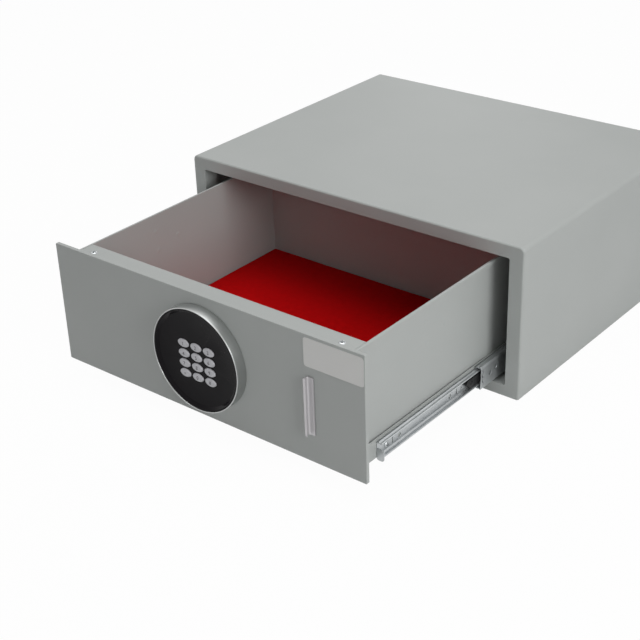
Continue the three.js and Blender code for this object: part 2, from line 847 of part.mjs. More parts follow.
// Front panel: heavy plate with the hole for the keypad's cable
function frontPanel() {
  const outline = roundedRectangle(
    -panelHalf,
    panelHalf,
    panelBase,
    panelTop,
    panelCorner,
    panelCorner,
    2,
  );
  const plate = extruded("y", outline, panelFront, panelBack);
  return cut(plate, [
    rod("y", cableHole / 2, keypadX, keypadZ, panelFront - beyond, panelBack + beyond),
  ]);
}
piece(drawerGroup, "front_panel", frontPanel(), paintedSteel);

// Lock cover: top shelf and rear wall that close off the bolt work
function lockCover() {
  const half = traySheet / 2;
  const line = [
    [trayFront + traySheet / 2, trayTop - half],
    [coverRear - half, trayTop - half],
    [coverRear - half, floorTop + seat + half],
    [coverRear - half - coverFoot, floorTop + seat + half],
  ];
  const outline = sheetOutline(rounded(line, coverBend), traySheet);
  const sheet = extruded("x", outline, -trayInner + seat, trayInner - seat);
  const notches = sides.map(([, sign]) =>
    block(
      ...across(sign, trayInner - trayBend, trayOuter),
      trayFront - beyond,
      coverRear + beyond,
      floorTop,
      floorTop + trayBend,
    ),
  );
  return cut(sheet, notches);
}
piece(drawerGroup, "lock_cover", lockCover(), paintedSteel);

// Pull handle: an extruded hook section, open towards the right
function pullHandle() {
  const back = panelFront - seat;
  const handleX = panelHalf - handleInset;
  const handleBase = panelMiddle - handleDrop - handleHeight / 2;
  const left = handleX + handleWall / 2;
  const line = [
    [handleX + handleWidth, back - handleWall / 2],
    [left, back - handleWall / 2],
    [left, back - handleDepth + handleWall / 2],
    [handleX + handleLip, back - handleDepth + handleWall / 2],
  ];
  const outline = sheetOutline(rounded(line, handleBend), handleWall);
  return extruded("z", outline, handleBase, handleBase + handleHeight);
}
piece(drawerGroup, "pull_handle", pullHandle(), anodised);

// Keypad ring: a turned dish that stands on the panel
const dishInner = keypadRadius - keypadWall;
const ringProfile = [
  [cableHole / 2, seat],
  [keypadRadius, seat],
  [keypadRadius, keypadDepth - keypadEdge],
  ...arc(keypadRadius - keypadEdge, keypadDepth - keypadEdge, keypadEdge, 30, 90, 3),
  [dishInner, keypadDepth - keypadChamfer],
  [dishInner, seat + keypadFloor],
  [cableHole / 2, seat + keypadFloor],
];
piece(drawerGroup, "keypad_ring", turned(ringProfile), brightSteel);

// Key places, row by row from the top left
const keyPlaces = [];
for (let row = 0; row < keyRows; row += 1) {
  for (let column = 0; column < keyColumns; column += 1) {
    const x = keypadX + (column - (keyColumns - 1) / 2) * keyPitchX;
    const z = keypadZ - keyBlockDrop + ((keyRows - 1) / 2 - row) * keyPitchZ;
    keyPlaces.push([x, z]);
  }
}

// Keypad face: a black dish with a bevelled rim and one opening for each key
function keypadFace() {
  const rim = dishInner - seat;
  const floor = seat + keypadFloor + seat;
  const profile = [
    [0, faceFlat - faceWall],
    [rim - faceWall, faceFlat - faceWall],
    [rim - faceWall, floor],
    [rim, floor],
    [rim, faceRim - faceRound],
    [rim - faceRound, faceRim],
    [rim - 2 * faceRound, faceRim],
    [rim - 2 * faceRound - faceBevel, faceFlat],
    [0, faceFlat],
  ];
  const openings = keyPlaces.map(([x, z]) =>
    extruded(
      "y",
      ellipse(x, z, keyWidth / 2 + keyPlay, keyHeight / 2 + keyPlay, keySides),
      panelFront - keypadDepth,
      panelFront,
    ),
  );
  return cut(turned(profile), openings);
}
piece(drawerGroup, "keypad_face", keypadFace(), glossBlack);

// Board and rubber pad behind the keys
const boardBack = seat + keypadFloor + seat;
const padBack = boardBack + boardThickness + padPlay;
const blockZ = keypadZ - keyBlockDrop;
const boardHalf = (keyPitchX * keyColumns) / 2 + boardMargin;
const boardHalfZ = (keyPitchZ * keyRows) / 2 + boardMargin;
const boardOutline = roundedRectangle(
  keypadX - boardHalf,
  keypadX + boardHalf,
  blockZ - boardHalfZ,
  blockZ + boardHalfZ,
  boardCorner,
  boardCorner,
  2,
);
piece(
  drawerGroup,
  "keypad_board",
  extruded("y", boardOutline, panelFront - boardBack - boardThickness, panelFront - boardBack),
  circuitGreen,
);
piece(
  drawerGroup,
  "keypad_rubber_pad",
  extruded("y", boardOutline, panelFront - padBack - padThickness, panelFront - padBack),
  greyRubber,
);

// Keys: oval caps with a slightly crowned top
const keyFoot = padBack + padThickness + keyTravel + padPlay;
keyPlaces.forEach(([x, z], i) => {
  const oval = ellipse(0, 0, keyWidth / 2 - keyCrown, keyHeight / 2 - keyCrown, keySides);
  const shape = new THREE.Shape(oval.map(([a, b]) => new THREE.Vector2(a, b)));
  const geometry = new THREE.ExtrudeGeometry(shape, {
    depth: keyTop - keyFoot - keyCrown,
    bevelThickness: keyCrown,
    bevelSize: keyCrown,
    bevelSegments: 2,
  });
  geometry.rotateX(Math.PI / 2);
  const foot = block(-keyWidth, keyWidth, 0, keyWidth, -keyHeight, keyHeight);
  const mesh = piece(drawerGroup, `key_${i + 1}`, solidOf(geometry).subtract(foot), silverKey);
  mesh.position.set(x, panelFront - keyFoot, z);
});

// Bolt work: two round bolts, fixed to a bar with a toothed rack
for (const [i, x] of boltXs.entries()) {
  const side = i === 0 ? "left" : "right";
  const bolt = rod("z", boltDiameter / 2, x, boltY, boltBase, boltTop, 24);
  piece(drawerGroup, `lock_bolt_${side}`, bolt, brightSteel);
}

const toothPitch = Math.PI * gearModule;
const rackTeeth = Math.ceil(boltTravel / toothPitch) + 2;
const pinionRadius = (gearModule * pinionTeeth) / 2;
const addendum = 0.8 * gearModule;
const dedendum = 1.2 * gearModule;
function boltBar() {
  const half = boltXs[1] + barEnd;
  const outline = roundedRectangle(-half, half, boltTop - barHeight, boltTop, barCorner, barCorner, 2);
  const bar = extruded("y", outline, barFront, barFront + barThickness);
  const rackLow = boltTop - barHeight / 2;
  const rackHigh = pinionZ + (rackTeeth - 1) * toothPitch;
  const spine = block(
    rackX + dedendum,
    rackX + dedendum + rackWidth,
    barFront,
    barFront + barThickness,
    rackLow,
    rackHigh,
  );
  const teeth = [];
  for (let i = 0; i < rackTeeth; i += 1) {
    const z = pinionZ + (i - 0.5) * toothPitch;
    const tooth = [
      [rackX + dedendum + overlap, z - toothWidth],
      [rackX + dedendum + overlap, z + toothWidth],
      [rackX - addendum, z + toothTip / 2],
      [rackX - addendum, z - toothTip / 2],
    ];
    teeth.push(extruded("y", tooth, barFront, barFront + barThickness));
  }
  return joined([bar, spine, ...teeth]);
}
piece(drawerGroup, "bolt_bar", boltBar(), zincSteel);

// Guides: blocks with a bore for each bolt, fixed to the panel's back
for (const [i, x] of boltXs.entries()) {
  const side = i === 0 ? "left" : "right";
  const half = guideWidth / 2;
  const base = floorTop + seat;
  const top = base + guideHeight;
  const body = block(x - half, x + half, panelBack + seat, barFront - seat, base, top);
  const bore = rod("z", boltDiameter / 2 + running, x, boltY, base - beyond, top + beyond);
  piece(drawerGroup, `bolt_guide_${side}`, body.subtract(bore), blackPlastic);
}

// Base plate of the lock, with the passage for the keypad's cable
const plateBack = panelBack + seat + basePlateSheet;
function basePlate() {
  const half = basePlateWidth / 2;
  const low = floorTop + seat + basePlateRise;
  const high = trayTop - traySheet - basePlateDrop;
  const outline = roundedRectangle(-half, half, low, high, basePlateCorner, basePlateCorner, 2);
  const plate = extruded("y", outline, panelBack + seat, plateBack);
  return plate.subtract(rod("y", cableHole / 2, keypadX, keypadZ, panelBack, plateBack + beyond));
}
piece(drawerGroup, "lock_base_plate", basePlate(), zincSteel);

// Gear motor: flat gearbox and round motor, with its shaft through the gearbox
const pinionX = rackX - pinionRadius;
function gearMotor() {
  const front = plateBack + seat;
  const back = barFront - motorGap;
  const half = motorHeight / 2;
  const right = pinionX + motorFront;
  const gearbox = block(right - motorLength / 2, right, front, back, pinionZ - half, pinionZ + half);
  const radius = (back - front) / 2;
  const joint = right - motorLength / 2 + overlap;
  const can = rod("x", radius, (front + back) / 2, pinionZ, right - motorLength, joint, 20);
  return gearbox.add(can);
}
piece(drawerGroup, "gear_motor", gearMotor(), brightSteel);

// Pinion: drives the rack up and down
function pinion() {
  const root = pinionRadius - dedendum;
  const tip = pinionRadius + addendum;
  const front = barFront - pinionStep;
  const back = barFront + barThickness;
  const parts = [rod("y", root, pinionX, pinionZ, front, back, 24)];
  for (let i = 0; i < pinionTeeth; i += 1) {
    const outline = [
      [root - toothRoot, -toothWidth],
      [pinionRadius, -toothWidth / 2],
      [tip, -toothTip / 2],
      [tip, toothTip / 2],
      [pinionRadius, toothWidth / 2],
      [root - toothRoot, toothWidth],
    ];
    const angle = (2 * Math.PI * i) / pinionTeeth;
    const turnedOutline = outline.map(([a, b]) => [
      pinionX + a * Math.cos(angle) - b * Math.sin(angle),
      pinionZ + a * Math.sin(angle) + b * Math.cos(angle),
    ]);
    parts.push(extruded("y", turnedOutline, front, back));
  }
  parts.push(rod("y", hubDiameter / 2, pinionX, pinionZ, back - overlap, back + hubLength, 16));
  return joined(parts);
}
piece(drawerGroup, "drive_pinion", pinion(), brightSteel);

// Battery holder: an open tray with its four cells
const holderFront = panelBack + seat;
const cellY = holderFront + holderWall + seat + batteryDiameter / 2;
function batteryHolder() {
  const outer = block(
    holderX,
    holderX + holderWidth,
    holderFront,
    cellY + batteryDiameter / 4,
    holderZ,
    holderZ + holderHeight,
  );
  const inside = block(
    holderX + holderWall,
    holderX + holderWidth - holderWall,
    holderFront + holderWall,
    cellY + batteryDiameter,
    holderZ + holderWall,
    holderZ + holderHeight - holderWall,
  );
  return outer.subtract(inside);
}
piece(drawerGroup, "battery_holder", batteryHolder(), blackPlastic);
for (let i = 0; i < batteryCount; i += 1) {
  const x = holderX + holderWall + batteryPlay + (i + 0.5) * batteryPitch;
  const base = holderZ + holderWall + contactSpace;
  const body = rod("z", batteryDiameter / 2, x, cellY, base, base + batteryLength, 20);
  const top = base + batteryLength;
  const pole = rod("z", poleDiameter / 2, x, cellY, top - overlap, top + poleHeight, 12);
  piece(drawerGroup, `battery_${i + 1}`, body.add(pole), batterySleeve);
}

// Control board on four standoffs
function controlBoard() {
  const front = panelBack + seat;
  const right = -basePlateWidth / 2 - controlBoardSpace;
  const left = right - controlBoardWidth;
  const low = boltTop + controlBoardRise;
  const top = low + controlBoardHeight;
  const boardFront = front + standoffHeight;
  const boardRear = boardFront + boardThickness;
  const parts = [block(left, right, boardFront, boardRear, low, top)];
  for (const x of [left + standoffInset, right - standoffInset]) {
    for (const z of [low + standoffInset, top - standoffInset]) {
      parts.push(rod("y", standoffDiameter / 2, x, z, front, boardFront + overlap, 12));
    }
  }
  const relayX = left + componentInset;
  const chipX = relayX + relayWidth + componentGap;
  const lowRow = low + componentInset;
  const highRow = top - componentInset;
  const components = [
    [relayX, relayWidth, lowRow, lowRow + relayHeight, relayDepth],
    [chipX, chipSize, lowRow, lowRow + chipSize, chipDepth],
    [relayX, socketWidth, highRow - socketHeight, highRow, socketDepth],
  ];
  for (const [x, width, base, crown, depth] of components) {
    parts.push(block(x, x + width, boardRear - overlap, boardRear + depth, base, crown));
  }
  return joined(parts);
}
piece(drawerGroup, "control_board", controlBoard(), circuitGreen);

export default part;
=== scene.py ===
import json
import math

import bmesh
import bpy
from mathutils import Matrix, Vector

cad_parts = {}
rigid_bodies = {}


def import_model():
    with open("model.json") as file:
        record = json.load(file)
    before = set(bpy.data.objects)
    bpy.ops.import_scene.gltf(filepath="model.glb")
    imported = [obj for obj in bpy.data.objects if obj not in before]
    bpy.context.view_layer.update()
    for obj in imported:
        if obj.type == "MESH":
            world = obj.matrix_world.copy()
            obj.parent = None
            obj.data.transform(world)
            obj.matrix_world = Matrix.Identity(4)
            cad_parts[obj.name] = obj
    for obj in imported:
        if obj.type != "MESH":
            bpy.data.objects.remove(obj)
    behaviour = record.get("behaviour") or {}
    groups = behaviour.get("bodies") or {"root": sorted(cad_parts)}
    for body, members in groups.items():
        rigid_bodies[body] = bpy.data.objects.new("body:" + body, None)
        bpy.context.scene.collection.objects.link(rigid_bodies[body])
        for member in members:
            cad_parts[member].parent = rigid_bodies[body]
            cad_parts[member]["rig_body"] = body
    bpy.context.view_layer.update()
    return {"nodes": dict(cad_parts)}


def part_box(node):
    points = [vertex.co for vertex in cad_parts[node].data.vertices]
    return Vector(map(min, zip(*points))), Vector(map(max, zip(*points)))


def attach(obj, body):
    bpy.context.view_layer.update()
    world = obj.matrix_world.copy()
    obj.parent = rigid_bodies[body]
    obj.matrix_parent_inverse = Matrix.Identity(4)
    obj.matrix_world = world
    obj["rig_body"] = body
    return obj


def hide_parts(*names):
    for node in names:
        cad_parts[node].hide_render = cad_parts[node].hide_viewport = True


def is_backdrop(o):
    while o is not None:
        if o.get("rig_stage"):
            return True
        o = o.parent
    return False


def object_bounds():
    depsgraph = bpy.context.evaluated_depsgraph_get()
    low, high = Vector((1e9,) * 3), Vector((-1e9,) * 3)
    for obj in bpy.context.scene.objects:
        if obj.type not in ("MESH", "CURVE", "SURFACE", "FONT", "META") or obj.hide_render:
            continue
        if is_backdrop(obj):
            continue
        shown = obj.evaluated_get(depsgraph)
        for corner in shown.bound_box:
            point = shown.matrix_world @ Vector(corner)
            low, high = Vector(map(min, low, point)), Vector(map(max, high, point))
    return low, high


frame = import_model()
scene = bpy.context.scene
mm = 0.001

# The view
# The safe is seen from above its right front corner with a long lens, so that its edges stay
# nearly parallel. Its lens, place and axes were fitted to the straight edges of case and drawer.
focal_length = 76.11
camera_place = (0.7680, -1.1292, 0.6884)
camera_data = bpy.data.cameras.new("view")
camera_data.lens = focal_length
camera_data.sensor_width = 36.0
camera_data.clip_end = 20.0
camera = bpy.data.objects.new("view", camera_data)
scene.collection.objects.link(camera)
# The directions of its right, up and back.
camera_axes = Matrix(
    (
        (0.77801, 0.62746, -0.03179),
        (-0.27581, 0.38657, 0.88009),
        (0.56450, -0.67594, 0.47381),
    )
)
camera.matrix_world = Matrix.Translation(camera_place) @ camera_axes.transposed().to_4x4()
scene.camera = camera
scene.view_settings.view_transform = "Standard"

# Case shell
# One wrapper of 1.5 mm sheet steel, folded in round the front opening, and powder coated in light
# grey. Its edges are bent and not cut, so they are soft, and the coat has a fine even texture.


def add(tree, kind, inputs=(), **settings):
    """Adds a node to a tree. Settings are its own values, and inputs are values or other sockets."""
    made = tree.nodes.new(kind)
    for name, value in settings.items():
        setattr(made, name, value)
    for name, value in dict(inputs).items():
        if isinstance(value, bpy.types.NodeSocket):
            tree.links.new(value, made.inputs[name])
        else:
            made.inputs[name].default_value = value
    return made


def linear(code):
    """The linear colour of an sRGB hex code."""
    channels = [int(code[i : i + 2], 16) / 255 for i in (0, 2, 4)]
    turned = [c / 12.92 if c <= 0.04045 else ((c + 0.055) / 1.055) ** 2.4 for c in channels]
    return (*turned, 1.0)


def new_finish(name):
    """An empty material and its tree, with the object's own coordinates in metres."""
    made = bpy.data.materials.new(name)
    made.use_nodes = True
    made.node_tree.nodes.clear()
    place = add(made.node_tree, "ShaderNodeTexCoord").outputs["Object"]
    return made, made.node_tree, place


def powder_coat():
    """Polyester powder coat: baked, even and satin, with the fine texture of the fused grains."""
    made, tree, place = new_finish("light_grey_powder_coat")
    # Finer on the real piece, and drawn as coarse as it needs to show.
    texture_size = 0.9 * mm
    cloud_size = 90 * mm
    grain = add(
        tree,
        "ShaderNodeTexNoise",
        {"Vector": place, "Scale": 1 / texture_size, "Detail": 3.0, "Roughness": 0.55},
    ).outputs["Fac"]
    cloud = add(
        tree, "ShaderNodeTexNoise", {"Vector": place, "Scale": 1 / cloud_size, "Detail": 2.0}
    ).outputs["Fac"]
    mottle = add(
        tree, "ShaderNodeMix", {"Factor": 0.45, "A": cloud, "B": grain}, data_type="FLOAT"
    ).outputs["Result"]
    colours = {"Factor": mottle, "A": linear("a6aaa8"), "B": linear("b3b6b4")}
    colour = add(tree, "ShaderNodeMix", colours, data_type="RGBA").outputs["Result"]
    bump = add(tree, "ShaderNodeBump", {"Height": grain, "Strength": 0.35, "Distance": 0.06 * mm})
    satin = {"Value": grain, "To Min": 0.44, "To Max": 0.56}
    roughness = add(tree, "ShaderNodeMapRange", satin).outputs["Result"]
    shader = add(
        tree,
        "ShaderNodeBsdfPrincipled",
        {
            "Base Color": colour,
            "Roughness": roughness,
            "Normal": bump.outputs["Normal"],
        },
    )
    add(tree, "ShaderNodeOutputMaterial", {"Surface": shader.outputs["BSDF"]})
    return made


def show(piece, body, finish):
    """Gives a new piece its finish and the body that it rides on."""
    piece.data.materials.clear()
    piece.data.materials.append(finish)
    if piece.name not in scene.collection.objects:
        scene.collection.objects.link(piece)
    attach(piece, body)
    return piece


def smooth(mesh, angle=35):
    """Smooth shading, with the edges over an angle kept sharp."""
    mesh.shade_smooth()
    mesh.set_sharp_from_angle(angle=math.radians(angle))


def from_shape(name, shape, angle=35):
    """A smooth shaded piece of what a bmesh holds."""
    mesh = bpy.data.meshes.new(name)
    shape.to_mesh(mesh)
    shape.free()
    smooth(mesh, angle=angle)
    piece = bpy.data.objects.new(name, mesh)
    scene.collection.objects.link(piece)
    return piece


def settled(piece):
    """Turns what the modifiers of a piece make into its own mesh."""
    graph = bpy.context.evaluated_depsgraph_get()
    mesh = bpy.data.meshes.new_from_object(piece.evaluated_get(graph))
    piece.modifiers.clear()
    piece.data = mesh
    return piece


def flat_faces(piece):
    """Leans a piece's normals towards its large faces: these stay flat and only the edges turn."""
    weighted = piece.modifiers.new("flat_faces", "WEIGHTED_NORMAL")
    weighted.mode = "FACE_AREA"
    weighted.weight = 100
    weighted.keep_sharp = True
    return settled(piece)


merge_distance = 0.001 * mm
flat_angle = math.radians(0.5)
edge_angle = math.radians(40)


def eased(node, width, finish, segments=2):
    """Stands for a node of the part: its shape, with edges as bending and coating leave them."""
    source = frame["nodes"][node]
    shape = bmesh.new()
    shape.from_mesh(source.data)
    bmesh.ops.remove_doubles(shape, verts=shape.verts, dist=merge_distance)
    bmesh.ops.dissolve_limit(
        shape, angle_limit=flat_angle, verts=shape.verts, edges=shape.edges
    )
    sharp = [
        e for e in shape.edges if len(e.link_faces) == 2 and e.calc_face_angle(0.0) > edge_angle
    ]
    bmesh.ops.bevel(
        shape, geom=sharp, offset=width, segments=segments, profile=0.5, affect="EDGES"
    )
    piece = flat_faces(from_shape(f"{node}_eased", shape))
    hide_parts(node)
    return show(piece, source["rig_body"], finish)


powder_coated = powder_coat()
eased("case_shell", width=0.25 * mm, finish=powder_coated)

# Case back
# A shallow folded pan of the same sheet, set into the shell's open end and spot welded round its
# flange. It is coated with the shell, and two holes in it take fixing screws.
eased("case_back", width=0.3 * mm, finish=powder_coated)

# Runner brackets and outer runner members
# Hat sections of bright zinc plated steel, welded to the case's walls, and the rolled outer members
# that are riveted to them. The plating is bright, with faint lines along the rolled length.


def rolled_zinc():
    """Bright zinc plating on cold rolled strip: a cool white metal with fine lines along its length."""
    made, tree, place = new_finish("bright_zinc_plated_strip")
    # Finer on the real piece, and drawn as coarse as it needs to show.
    line_width = 0.5 * mm
    line_length = 60 * mm
    bloom_size = 14 * mm
    stretched = add(
        tree,
        "ShaderNodeMapping",
        {"Vector": place, "Scale": (1 / line_width, 1 / line_length, 1 / line_width)},
    ).outputs["Vector"]
    lines = add(
        tree, "ShaderNodeTexNoise", {"Vector": stretched, "Scale": 1.0, "Detail": 3.0}
    ).outputs["Fac"]
    bloom = add(
        tree, "ShaderNodeTexNoise", {"Vector": place, "Scale": 1 / bloom_size, "Detail": 2.0}
    ).outputs["Fac"]
    bump = add(tree, "ShaderNodeBump", {"Height": lines, "Strength": 0.25, "Distance": 0.02 * mm})
    colours = {"Factor": bloom, "A": linear("b4b8ba"), "B": linear("cbcecf")}
    colour = add(tree, "ShaderNodeMix", colours, data_type="RGBA").outputs["Result"]
    satin = {"Value": lines, "To Min": 0.3, "To Max": 0.45}
    roughness = add(tree, "ShaderNodeMapRange", satin).outputs["Result"]
    shader = add(
        tree,
        "ShaderNodeBsdfPrincipled",
        {
            "Base Color": colour,
            "Metallic": 0.8,
            "Roughness": roughness,
            "Normal": bump.outputs["Normal"],
        },
    )
    add(tree, "ShaderNodeOutputMaterial", {"Surface": shader.outputs["BSDF"]})
    return made


zinc_plated = rolled_zinc()
for side in ("left", "right"):
    eased(f"runner_bracket_{side}", width=0.2 * mm, finish=zinc_plated)
    eased(f"outer_runner_{side}", width=0.15 * mm, finish=zinc_plated)

# Middle runner members
# Rolled strip of zinc plated steel, with a raceway on each side. They ride on balls in the outer
# members and carry the drawer's.
for side in ("left", "right"):
    eased(f"middle_runner_{side}", width=0.15 * mm, finish=zinc_plated)

# Ball cages
# Pressed channels of thin steel strip that keep the hardened balls of each raceway at their spacing.
# The balls snap into them from inside.


def polished_steel():
    """Hardened and polished steel, with the faint marks of turning and handling."""
    made, tree, place = new_finish("polished_hardened_steel")
    mark_size = 1.5 * mm
    marks = add(
        tree, "ShaderNodeTexNoise", {"Vector": place, "Scale": 1 / mark_size, "Detail": 4.0}
    ).outputs["Fac"]
    colours = {"Factor": marks, "A": linear("a4a6a7"), "B": linear("b8babb")}
    colour = add(tree, "ShaderNodeMix", colours, data_type="RGBA").outputs["Result"]
    satin = {"Value": marks, "To Min": 0.14, "To Max": 0.28}
    roughness = add(tree, "ShaderNodeMapRange", satin).outputs["Result"]
    shader = add(
        tree,
        "ShaderNodeBsdfPrincipled",
        {
            "Base Color": colour,
            "Metallic": 1.0,
            "Roughness": roughness,
        },
    )
    add(tree, "ShaderNodeOutputMaterial", {"Surface": shader.outputs["BSDF"]})
    return made


def extruded(name, outline, axis, start, end, ease=0.0):
    """A solid of one section between two places on an axis, with its end edges eased."""
    shape = bmesh.new()
    corners = []
    for across, up in outline:
        spot = [across, up]
        spot.insert(axis, start)
        corners.append(shape.verts.new(spot))
    shape.faces.new(corners)
    pulled = bmesh.ops.extrude_face_region(shape, geom=list(shape.faces))
    step = Vector([end - start if i == axis else 0.0 for i in range(3)])
    ends = [v for v in pulled["geom"] if isinstance(v, bmesh.types.BMVert)]
    bmesh.ops.translate(shape, verts=ends, vec=step)
    bmesh.ops.recalc_face_normals(shape, faces=shape.faces)
    if ease:
        rims = [e for e in shape.edges if abs(e.verts[0].co[axis] - e.verts[1].co[axis]) < 1e-9]
        bmesh.ops.bevel(shape, geom=rims, offset=ease, segments=2, affect="EDGES")
    return flat_faces(from_shape(name, shape))


def new_tree(name, **kinds):
    """An empty geometry tree that is given places and named inputs."""
    tree = bpy.data.node_groups.new(name, "GeometryNodeTree")
    rows = {"places": "Geometry", **kinds}
    for key, kind in rows.items():
        label = key.replace("_", " ").capitalize()
        tree.interface.new_socket(label, in_out="INPUT", socket_type=f"NodeSocket{kind}")
    tree.interface.new_socket("Made", in_out="OUTPUT", socket_type="NodeSocketGeometry")
    return tree, add(tree, "NodeGroupInput").outputs


def set_on_places(tree, shape, places, turn, finish, scale=(1.0, 1.0, 1.0)):
    """Ends a tree: its shape on each place, turned and scaled, made real and given its finish."""
    rotation = add(tree, "FunctionNodeEulerToRotation", {"Euler": turn}).outputs["Rotation"]
    placed = add(
        tree,
        "GeometryNodeInstanceOnPoints",
        {"Points": places, "Instance": shape, "Rotation": rotation, "Scale": scale},
    ).outputs["Instances"]
    real = add(tree, "GeometryNodeRealizeInstances", {"Geometry": placed}).outputs["Geometry"]
    dressed = add(
        tree, "GeometryNodeSetMaterial", {"Geometry": real, "Material": finish}
    ).outputs["Geometry"]
    add(tree, "NodeGroupOutput", {"Made": dressed})
    return tree


def dome(tree, diameter, height, segments=24):
    """A flattened ball, for what is round: a ball, a rivet's head or a weld mark."""
    radius = add(tree, "ShaderNodeMath", {0: diameter, 1: 0.5}, operation="MULTIPLY").outputs["Value"]
    ball = add(
        tree,
        "GeometryNodeMeshUVSphere",
        {"Segments": segments, "Rings": segments // 2, "Radius": radius},
    ).outputs["Mesh"]
    flat = add(tree, "ShaderNodeMath", {0: height, 1: radius}, operation="DIVIDE").outputs["Value"]
    scale = add(tree, "ShaderNodeCombineXYZ", {"X": 1.0, "Y": 1.0, "Z": flat}).outputs["Vector"]
    return add(tree, "GeometryNodeTransform", {"Geometry": ball, "Scale": scale}).outputs["Geometry"]


def dome_tree():
    """Domes of one size, half sunk, on each vertex of the carrying mesh."""
    tree, given = new_tree("domes", diameter="Float", height="Float", turn="Vector", finish="Material")
    shape = dome(tree, given["Diameter"], given["Height"])
    return set_on_places(tree, shape, given["Places"], given["Turn"], given["Finish"])


def from_tree(name, tree, points, faces=(), **inputs):
    """A plain mesh that a geometry tree makes on a set of points, or on faces between them."""
    carrier = bpy.data.meshes.new(name)
    carrier.from_pydata([tuple(p) for p in points], [], list(faces))
    piece = bpy.data.objects.new(name, carrier)
    modifier = piece.modifiers.new(name, "NODES")
    modifier.node_group = tree
    for socket in tree.interface.items_tree:
        key = socket.name.lower().replace(" ", "_")
        if socket.in_out == "INPUT" and key in inputs:
            modifier[socket.identifier] = inputs[key]
    scene.collection.objects.link(piece)
    settled(piece)
    smooth(piece.data)
    return piece


bright_steel = polished_steel()
domes = dome_tree()
ball_diameter = 3.2 * mm
balls_in_row = 6
cage_sheet = 0.6 * mm
for row, body in (("outer", "outer_cages"), ("inner", "inner_cages")):
    for side, sign in (("left", -1), ("right", 1)):
        node = f"{row}_ball_cage_{side}"
        low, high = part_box(node)
        web = high.x if sign > 0 else low.x
        ball_x = (low.x if sign > 0 else high.x) + sign * ball_diameter / 2
        top, base = high.z - ball_diameter / 2, low.z + ball_diameter / 2
        half = cage_sheet / 2
        section = [
            (ball_x, top + half),
            (web, top + half),
            (web, base - half),
            (ball_x, base - half),
            (ball_x, base + half),
            (web - sign * cage_sheet, base + half),
            (web - sign * cage_sheet, top - half),
            (ball_x, top - half),
        ]
        channel = extruded(f"{row}_cage_channel_{side}", section, 1, low.y, high.y, ease=0.1 * mm)
        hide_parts(node)
        show(channel, body, zinc_plated)
        pitch = (high.y - low.y) / balls_in_row
        along = [low.y + (i + 0.5) * pitch for i in range(balls_in_row)]
        balls = from_tree(
            f"{row}_cage_balls_{side}",
            domes,
            [(ball_x, y, z) for y in along for z in (base, top)],
            diameter=ball_diameter,
            height=ball_diameter / 2,
            turn=(0.0, 0.0, 0.0),
            finish=bright_steel,
        )
        show(balls, body, bright_steel)

# Drawer runner members and release levers
# Rolled strip with a folded front end, screwed to the rails, and a black moulded lever riveted into
# each, which lets the drawer be lifted off.


def moulded_black():
    """Injection moulded black nylon with the fine spark texture of its mould."""
    made, tree, place = new_finish("moulded_black_nylon")
    spark_size = 0.35 * mm
    spark = add(
        tree, "ShaderNodeTexNoise", {"Vector": place, "Scale": 1 / spark_size, "Detail": 2.0}
    ).outputs["Fac"]
    bump = add(tree, "ShaderNodeBump", {"Height": spark, "Strength": 0.3, "Distance": 0.02 * mm})
    colours = {"Factor": spark, "A": linear("0e0e0f"), "B": linear("161617")}
    colour = add(tree, "ShaderNodeMix", colours, data_type="RGBA").outputs["Result"]
    satin = {"Value": spark, "To Min": 0.38, "To Max": 0.52}
    roughness = add(tree, "ShaderNodeMapRange", satin).outputs["Result"]
    shader = add(
        tree,
        "ShaderNodeBsdfPrincipled",
        {
            "Base Color": colour,
            "Roughness": roughness,
            "Specular IOR Level": 0.25,
            "Normal": bump.outputs["Normal"],
        },
    )
    add(tree, "ShaderNodeOutputMaterial", {"Surface": shader.outputs["BSDF"]})
    return made


black_nylon = moulded_black()
for side in ("left", "right"):
    eased(f"drawer_runner_{side}", width=0.15 * mm, finish=zinc_plated)
    eased(f"release_lever_{side}", width=0.4 * mm, finish=black_nylon)
rivet_from_front = 9 * mm
rivet_cap_diameter = 5 * mm
rivet_cap_height = 0.5 * mm
pivot_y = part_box("release_lever_right")[0].y + rivet_from_front
for side, sign in (("left", -1), ("right", 1)):
    low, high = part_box(f"release_lever_{side}")
    cap = from_tree(
        f"lever_rivet_cap_{side}",
        domes,
        [(high.x if sign > 0 else low.x, pivot_y, (low.z + high.z) / 2)],
        diameter=rivet_cap_diameter,
        height=rivet_cap_height,
        turn=(0.0, math.pi / 2, 0.0),
        finish=black_nylon,
    )
    show(cap, f"lever_{side}", black_nylon)

# Drawer tray and rails
# A folded tray of 1.2 mm sheet, its rims hemmed outwards, on two channels that carry the runners.
# They are spot welded together and powder coated as one.
eased("drawer_tray", width=0.2 * mm, finish=powder_coated)
for side in ("left", "right"):
    eased(f"drawer_rail_{side}", width=0.2 * mm, finish=powder_coated)
# Spot welds show through the coat as slight bumps on both faces of the tray's walls.
tray_inside = 166.9 * mm
tray_outside = 168.1 * mm
weld_diameter = 5.5 * mm
weld_height = 0.22 * mm
weld_places = [(y * mm, z * mm) for y, z in ((-264, 97), (-235, 104), (-266, 118.5), (-120, 104))]
welds = from_tree(
    "tray_weld_marks",
    domes,
    [
        (sign * x, y, z)
        for sign in (-1, 1)
        for x in (tray_inside, tray_outside)
        for y, z in weld_places
    ],
    diameter=weld_diameter,
    height=weld_height,
    turn=(0.0, math.pi / 2, 0.0),
    finish=powder_coated,
)
show(welds, "drawer", powder_coated)

# Lock work
# The bolts, their bar and rack, the gear motor, the cells and the control board stand between the
# panel and the cover.


